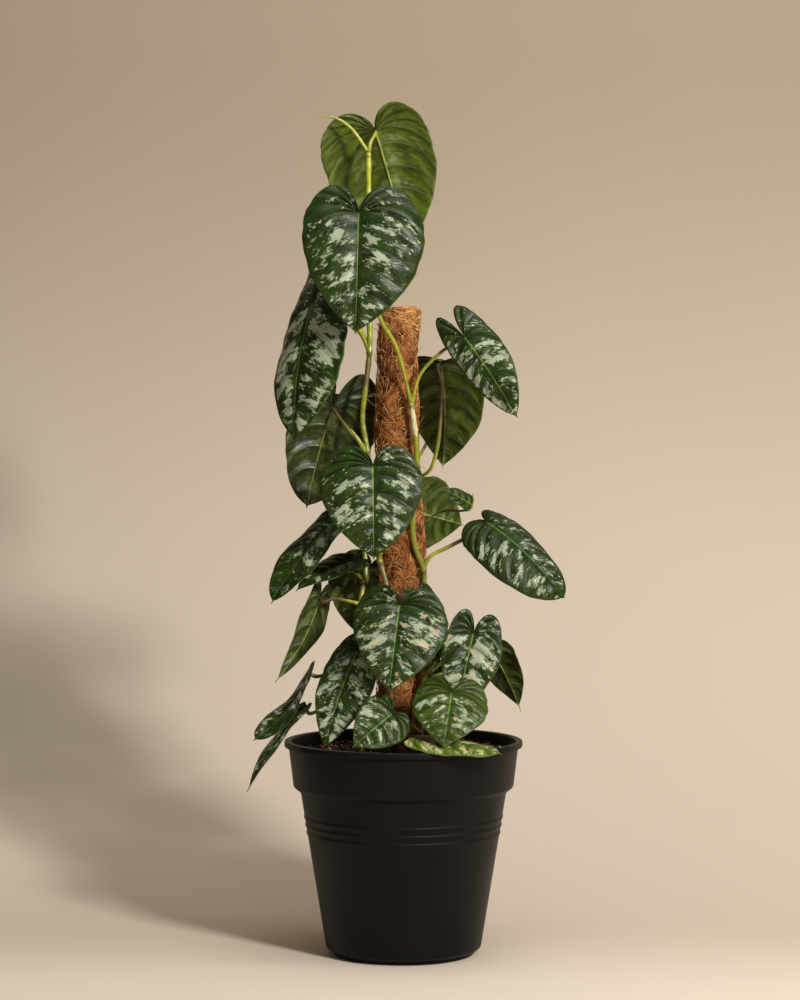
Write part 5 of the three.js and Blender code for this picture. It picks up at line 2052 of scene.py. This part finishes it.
@dataclass(frozen=True)
class Soil:
    """The potting mix with its crumbs, bark, perlite and loose fibres."""

    top: float = 203
    clearance: float = 0.5
    lump: float = 1.3
    rings: int = 80
    sides: int = 200
    crumbs: int = 3000
    chips: int = 240
    grains: int = 120
    threads: int = 130
    thread_steps: int = 7
    thread_length: Pair = (5, 15)
    largest_crumb: float = 3.2
    chip_size: Point = (5.0, 2.2, 1.0)
    pole_x: float = -4
    pole_radius: float = 21.5

    def edge_radius(self, pot: Pot) -> float:
        """Works out where the soil's top meets the pot.

        Args:
            pot: The pot that it fills.

        Returns:
            The radius of the top edge.
        """
        rim = pot.collar_top_radius - pot.wall
        foot = pot.collar_bottom_radius - pot.wall
        wall = np.interp(self.top, [pot.collar_bottom, pot.height - pot.lip_round], [foot, rim])
        return float(wall) - self.clearance

    def height_at(self, x: Array, y: Array, edge: float) -> Array:
        """Gives the height of the soil's surface.

        Args:
            x: Places along X.
            y: Places along Y.
            edge: Radius of the top edge.

        Returns:
            The height at each place.
        """
        slow = np.sin(0.13 * x + 1) * np.sin(0.11 * y) + np.sin(0.21 * x - 0.17 * y)
        spots = np.stack([x, y, np.zeros_like(x)], axis=-1)
        fine = lumps(spots, 7, 21) * 1.1 + lumps(spots, 2.6, 22) * 0.6
        inner = smooth(0, 6, edge - np.hypot(x, y))
        return self.top + inner * (self.lump * slow + fine) - (1 - inner) * 1.2

    def add_bed(self, batch: MeshBatch, pot: Pot) -> None:
        """Adds the body of soil that fills the pot.

        Args:
            batch: Takes the soil.
            pot: The pot that it fills.
        """
        edge = self.edge_radius(pot)
        floor = pot.floor_top + self.clearance
        walls = [
            (pot.foot_body_radius - pot.wall - pot.floor_corner - self.clearance, floor),
            (pot.foot_body_radius - pot.wall - self.clearance, pot.floor_top + pot.floor_corner),
            (pot.shoulder_radius - pot.wall - self.clearance, pot.shoulder - pot.inner_drop),
            (pot.collar_bottom_radius - pot.wall - self.clearance, pot.collar_bottom),
        ]
        surface = [(edge * (1 - ring / self.rings), self.top) for ring in range(self.rings + 1)]
        points, faces = lathe(np.array([(0, floor), *walls, *surface], float), self.sides)
        on_top = points[:, 2] > self.top - 0.1
        points[on_top, 2] = self.height_at(points[on_top, 0], points[on_top, 1], edge)
        tone = np.zeros((len(points), 3))
        tone[:, 0] = 0.3 + 0.3 * lumps(points, 9, 23)
        batch.add(points, faces, 0, tone=tone)

    def spots(self, count: int, edge: float, random: Random) -> Array:
        """Picks random places on the surface, clear of the pole.

        Args:
            count: How many places.
            edge: Radius of the top edge.
            random: Source of the places.

        Returns:
            The places.
        """
        turn = random.uniform(0, 2 * np.pi, 2 * count)
        radius = (edge - 2.5) * np.sqrt(random.uniform(0, 1, 2 * count))
        x, y = radius * np.cos(turn), radius * np.sin(turn)
        clear = np.hypot(x - self.pole_x, y) > self.pole_radius
        x, y = x[clear][:count], y[clear][:count]
        return np.stack([x, y, self.height_at(x, y, edge)], axis=1)

    @staticmethod
    def lump_shape() -> tuple[Array, Array]:
        """Makes the 20-sided ball that every lump starts from.

        Returns:
            Its 12 corners, at a radius of one, and its triangles.
        """
        golden = (1 + 5**0.5) / 2
        pairs = [(0, a, b) for a in (-1, 1) for b in (-golden, golden)]
        turned = [(p, (p[1], p[2], p[0]), (p[2], p[0], p[1])) for p in pairs]
        ball = unit(np.array([corner for three in turned for corner in three]))
        gap = np.linalg.norm(ball[:, None] - ball[None], axis=2)
        near = (gap > 0.1) & (gap < 1.2)
        faces = []
        for a, b, c in combinations(range(len(ball)), 3):
            if near[a, b] and near[b, c] and near[a, c]:
                outward = np.cross(ball[b] - ball[a], ball[c] - ball[a]) @ ball[a] > 0
                faces.append((a, b, c) if outward else (c, b, a))
        return ball, np.array(faces)

    def add_lumps(
        self, batch: MeshBatch, spots: Array, size: Array, tone: Array, random: Random
    ) -> None:
        """Adds small rough lumps.

        Args:
            batch: Takes the lumps.
            spots: Where they lie.
            size: Their three half sizes.
            tone: How light and how brown each is.
            random: Source of their random shapes.
        """
        ball, faces = self.lump_shape()
        count, corners = len(spots), len(ball)
        shape = ball * random.uniform(0.7, 1.25, (count, corners, 1)) * size[:, None]
        first = unit(random.normal(size=(count, 3)))
        second = unit(np.cross(first, random.normal(size=(count, 3))))
        turned = np.stack([first, second, np.cross(first, second)], axis=1)
        points = spots[:, None] + shape @ turned
        whole = (faces[None] + np.arange(count)[:, None, None] * corners).reshape(-1, 3)
        whole = np.pad(whole, ((0, 0), (0, 1)), constant_values=-1)
        values = np.repeat(np.stack([tone, tone * 0, tone * 0], axis=1), corners, axis=0)
        batch.add(points.reshape(-1, 3), whole, 0, tone=values)

    def build(self, pot: Pot, finishes: dict[str, Material], random: Random) -> None:
        """Builds the soil in place of its node, and what lies on it.

        Args:
            pot: The pot that it fills.
            finishes: The materials by name.
            random: Source of the crumbs' random places.
        """
        edge = self.edge_radius(pot)
        bed = MeshBatch()
        self.add_bed(bed, pot)
        settle(bed.build("soil_bed", [finishes["soil"]]), Slot.SOIL, "soil")
        crumbs = MeshBatch()
        spots = self.spots(self.crumbs, edge, random)
        size = random.lognormal(0.1, 0.45, (len(spots), 1)) * random.uniform(0.6, 1.2, (len(spots), 3))
        size = np.minimum(size, self.largest_crumb)
        self.add_lumps(crumbs, spots, size, random.uniform(0, 0.75, len(spots)), random)
        spots = self.spots(self.chips, edge, random)
        size = random.uniform(0.5, 1.2, (len(spots), 3)) * self.chip_size
        self.add_lumps(crumbs, spots + [0, 0, 0.6], size, random.uniform(0.5, 1, len(spots)), random)
        settle(crumbs.build("soil_crumbs", [finishes["soil"]]), Slot.SOIL)
        grains = MeshBatch()
        spots = self.spots(self.grains, edge, random)
        size = random.uniform(0.5, 1.5, (len(spots), 1)) * random.uniform(0.8, 1.2, (len(spots), 3))
        self.add_lumps(grains, spots + [0, 0, 0.5], size, np.ones(len(spots)), random)
        settle(grains.build("soil_perlite", [finishes["perlite"]]), Slot.SOIL)
        self.build_threads(edge, finishes["coir_fibre"], random)

    def build_threads(self, edge: float, material: Material, random: Random) -> None:
        """Builds the loose coir threads that lie on the soil.

        Args:
            edge: Radius of the soil's top edge.
            material: The threads' finish.
            random: Source of their random places.
        """
        start = self.spots(self.threads, edge - 8, random)
        heading = random.uniform(0, 2 * np.pi, len(start))
        steps = self.thread_steps
        path = np.empty((len(start), steps, 3))
        x, y = start[:, 0].copy(), start[:, 1].copy()
        length = random.uniform(*self.thread_length, len(start))
        for step in range(steps):
            over = np.maximum(np.hypot(x, y) / (edge - 1), 1)
            x, y = x / over, y / over
            lift = 1.0 + 1.3 * math.sin(math.pi * step / (steps - 1))
            path[:, step] = np.stack([x, y, self.height_at(x, y, edge) + lift], axis=1)
            x = x + np.cos(heading) * length / steps
            y = y + np.sin(heading) * length / steps
            heading = heading + random.normal(0, 0.4, len(start))
        batch = MeshBatch()
        radii = random.uniform(0.18, 0.4, (len(start), 1)) * np.ones(steps)
        CoirPole.add_strands(batch, path, radii, random.uniform(0.3, 0.95, len(start)))
        settle(batch.build("soil_threads", [material]), Slot.SOIL)


@dataclass(frozen=True)
class Light:
    """A soft rectangular lamp, in metres and watts."""

    name: str
    place: Point
    aim: Point
    size: Pair
    power: float
    colour: Point

    def build(self) -> None:
        """Adds the lamp."""
        data = bpy.data.lights.new(self.name, "AREA")
        data.shape = "RECTANGLE"
        data.size, data.size_y = self.size
        data.energy = self.power
        data.color = self.colour
        lamp = bpy.data.objects.new(self.name, data)
        lamp.location = self.place
        aim = lamp.location.copy()
        aim.xyz = self.aim
        lamp.rotation_euler = (aim - lamp.location).to_track_quat("-Z", "Y").to_euler()
        bpy.context.scene.collection.objects.link(lamp)


@dataclass(frozen=True)
class Studio:
    """The camera, the lamps and the pale paper that runs from the floor up behind."""

    camera_place: Point = (-0.0035, -2.7, 0.52)
    camera_pitch: float = 1.34
    lens: float = 96.6
    sensor: float = 36
    half_width: float = 6.0
    front: float = -5.0
    behind: float = 6.0
    back: float = 1.02
    wall_height: float = 4.0
    curve: float = 0.9
    air: Colour = srgb(236, 228, 216)
    ambient: float = 0.06
    far_light: float = 0.3
    lights: tuple[Light, ...] = (
        Light("key", (1.28, -1.89, 1.47), (0, 0, 0.45), (0.34, 0.34), 69, (1.0, 0.97, 0.92)),
        Light("side", (1.92, -0.52, 1.38), (0, 0, 0.45), (0.4, 0.4), 5, (1.0, 0.97, 0.92)),
        Light("fill", (-1.7, -1.9, 1.3), (0, 0, 0.45), (1.2, 1.2), 3.5, (1.0, 0.98, 0.95)),
        Light("top", (0.2, -0.5, 2.4), (0, -0.1, 0.2), (1.2, 1.2), 19, (1.0, 0.98, 0.95)),
    )

    def build_camera(self) -> None:
        """Adds the camera at the photograph's viewing angle."""
        data = bpy.data.cameras.new("camera")
        data.lens = self.lens
        data.sensor_width = self.sensor
        data.sensor_fit = "AUTO"
        data.clip_end = 50
        camera = bpy.data.objects.new("camera", data)
        camera.location = self.camera_place
        camera.rotation_euler = (math.radians(90 - self.camera_pitch), 0, 0)
        bpy.context.scene.collection.objects.link(camera)
        bpy.context.scene.camera = camera

    def build_paper(self, material: Material) -> None:
        """Adds a sheet that curves up behind the plant, and the floor that goes on under it.

        Args:
            material: The paper.
        """
        angles = np.linspace(0, np.pi / 2, 24)
        foot = self.back - self.curve
        bend = [(foot + self.curve * math.sin(a), self.curve * (1 - math.cos(a))) for a in angles]
        sheets = {
            "studio_paper": [(self.front, 0.0), *bend, (self.back, self.wall_height)],
            "studio_floor": [bend[0], (self.behind, 0.0)],
        }
        for name, line in sheets.items():
            side, (depths, heights) = self.half_width / MM, np.array(line).T / MM
            edges = [np.stack([np.full(len(line), x), depths, heights], axis=1) for x in (-side, side)]
            row = np.arange(len(line) - 1)[:, None]
            batch = MeshBatch()
            batch.add(np.concatenate(edges), row + [0, len(line), len(line) + 1, 1])
            batch.build(name, [material])

    def build_air(self) -> None:
        """Adds a little light from all round, which looks as pale as the paper."""
        world = bpy.data.worlds.new("studio_air")
        world.use_nodes = True
        world.node_tree.nodes.clear()
        graph = Graph(world.node_tree)
        seen = graph.add("LightPath").outputs["Is Camera Ray"]
        strength = graph.between(seen, 0.0, 1.0, self.ambient, self.far_light)
        air = graph.add("Background", {"Color": self.air, "Strength": strength})
        graph.add("OutputWorld", {"Surface": air.outputs[0]})
        bpy.context.scene.world = world

    def build(self, material: Material) -> None:
        """Builds all of it.

        Args:
            material: The paper.
        """
        self.build_camera()
        self.build_paper(material)
        for light in self.lights:
            light.build()
        self.build_air()
        bpy.context.scene.view_settings.view_transform = "Standard"


def make_finishes() -> dict[str, Material]:
    """Makes the shared effects once and every material from them.

    Returns:
        The materials by name.
    """
    effects = Effects(mottle_effect(), grain_effect(), dust_effect(), vein_effect())
    coir = CoirFinish()
    return {
        "upper": UpperFinish().build(effects),
        "under": UnderFinish().build(effects),
        "stem": StemFinish().build(effects),
        # The wrap under the loose fibres gets painted shade all over.
        "coir_mat": coir.build(effects, "coir_mat", 0.25),
        "coir_fibre": coir.build(effects, "coir_fibre", 0.0),
        "soil": SoilFinish().build(effects),
        "perlite": PerliteFinish().build(effects),
        "pot": PotFinish().build(effects),
        "stake": StakeFinish().build(effects),
        "stage": StageFinish().build(effects),
    }


def main() -> None:
    """Builds the studio and then the plant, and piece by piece."""
    logging.basicConfig(level=logging.INFO, format="%(message)s")
    random = np.random.default_rng(7)
    finishes = make_finishes()
    Studio().build(finishes["stage"])
    pot = Pot()
    pot.build(finishes["pot"])
    Soil().build(pot, finishes, random)
    CoirPole().build(finishes, random)
    for name, vine in VINES.items():
        vine.build(name, finishes["stem"], random)
    for seed, (name, leaf) in enumerate(LEAVES.items()):
        leaf.build(name, seed, [finishes["upper"], finishes["under"]])


if __name__ == "__main__":
    main()
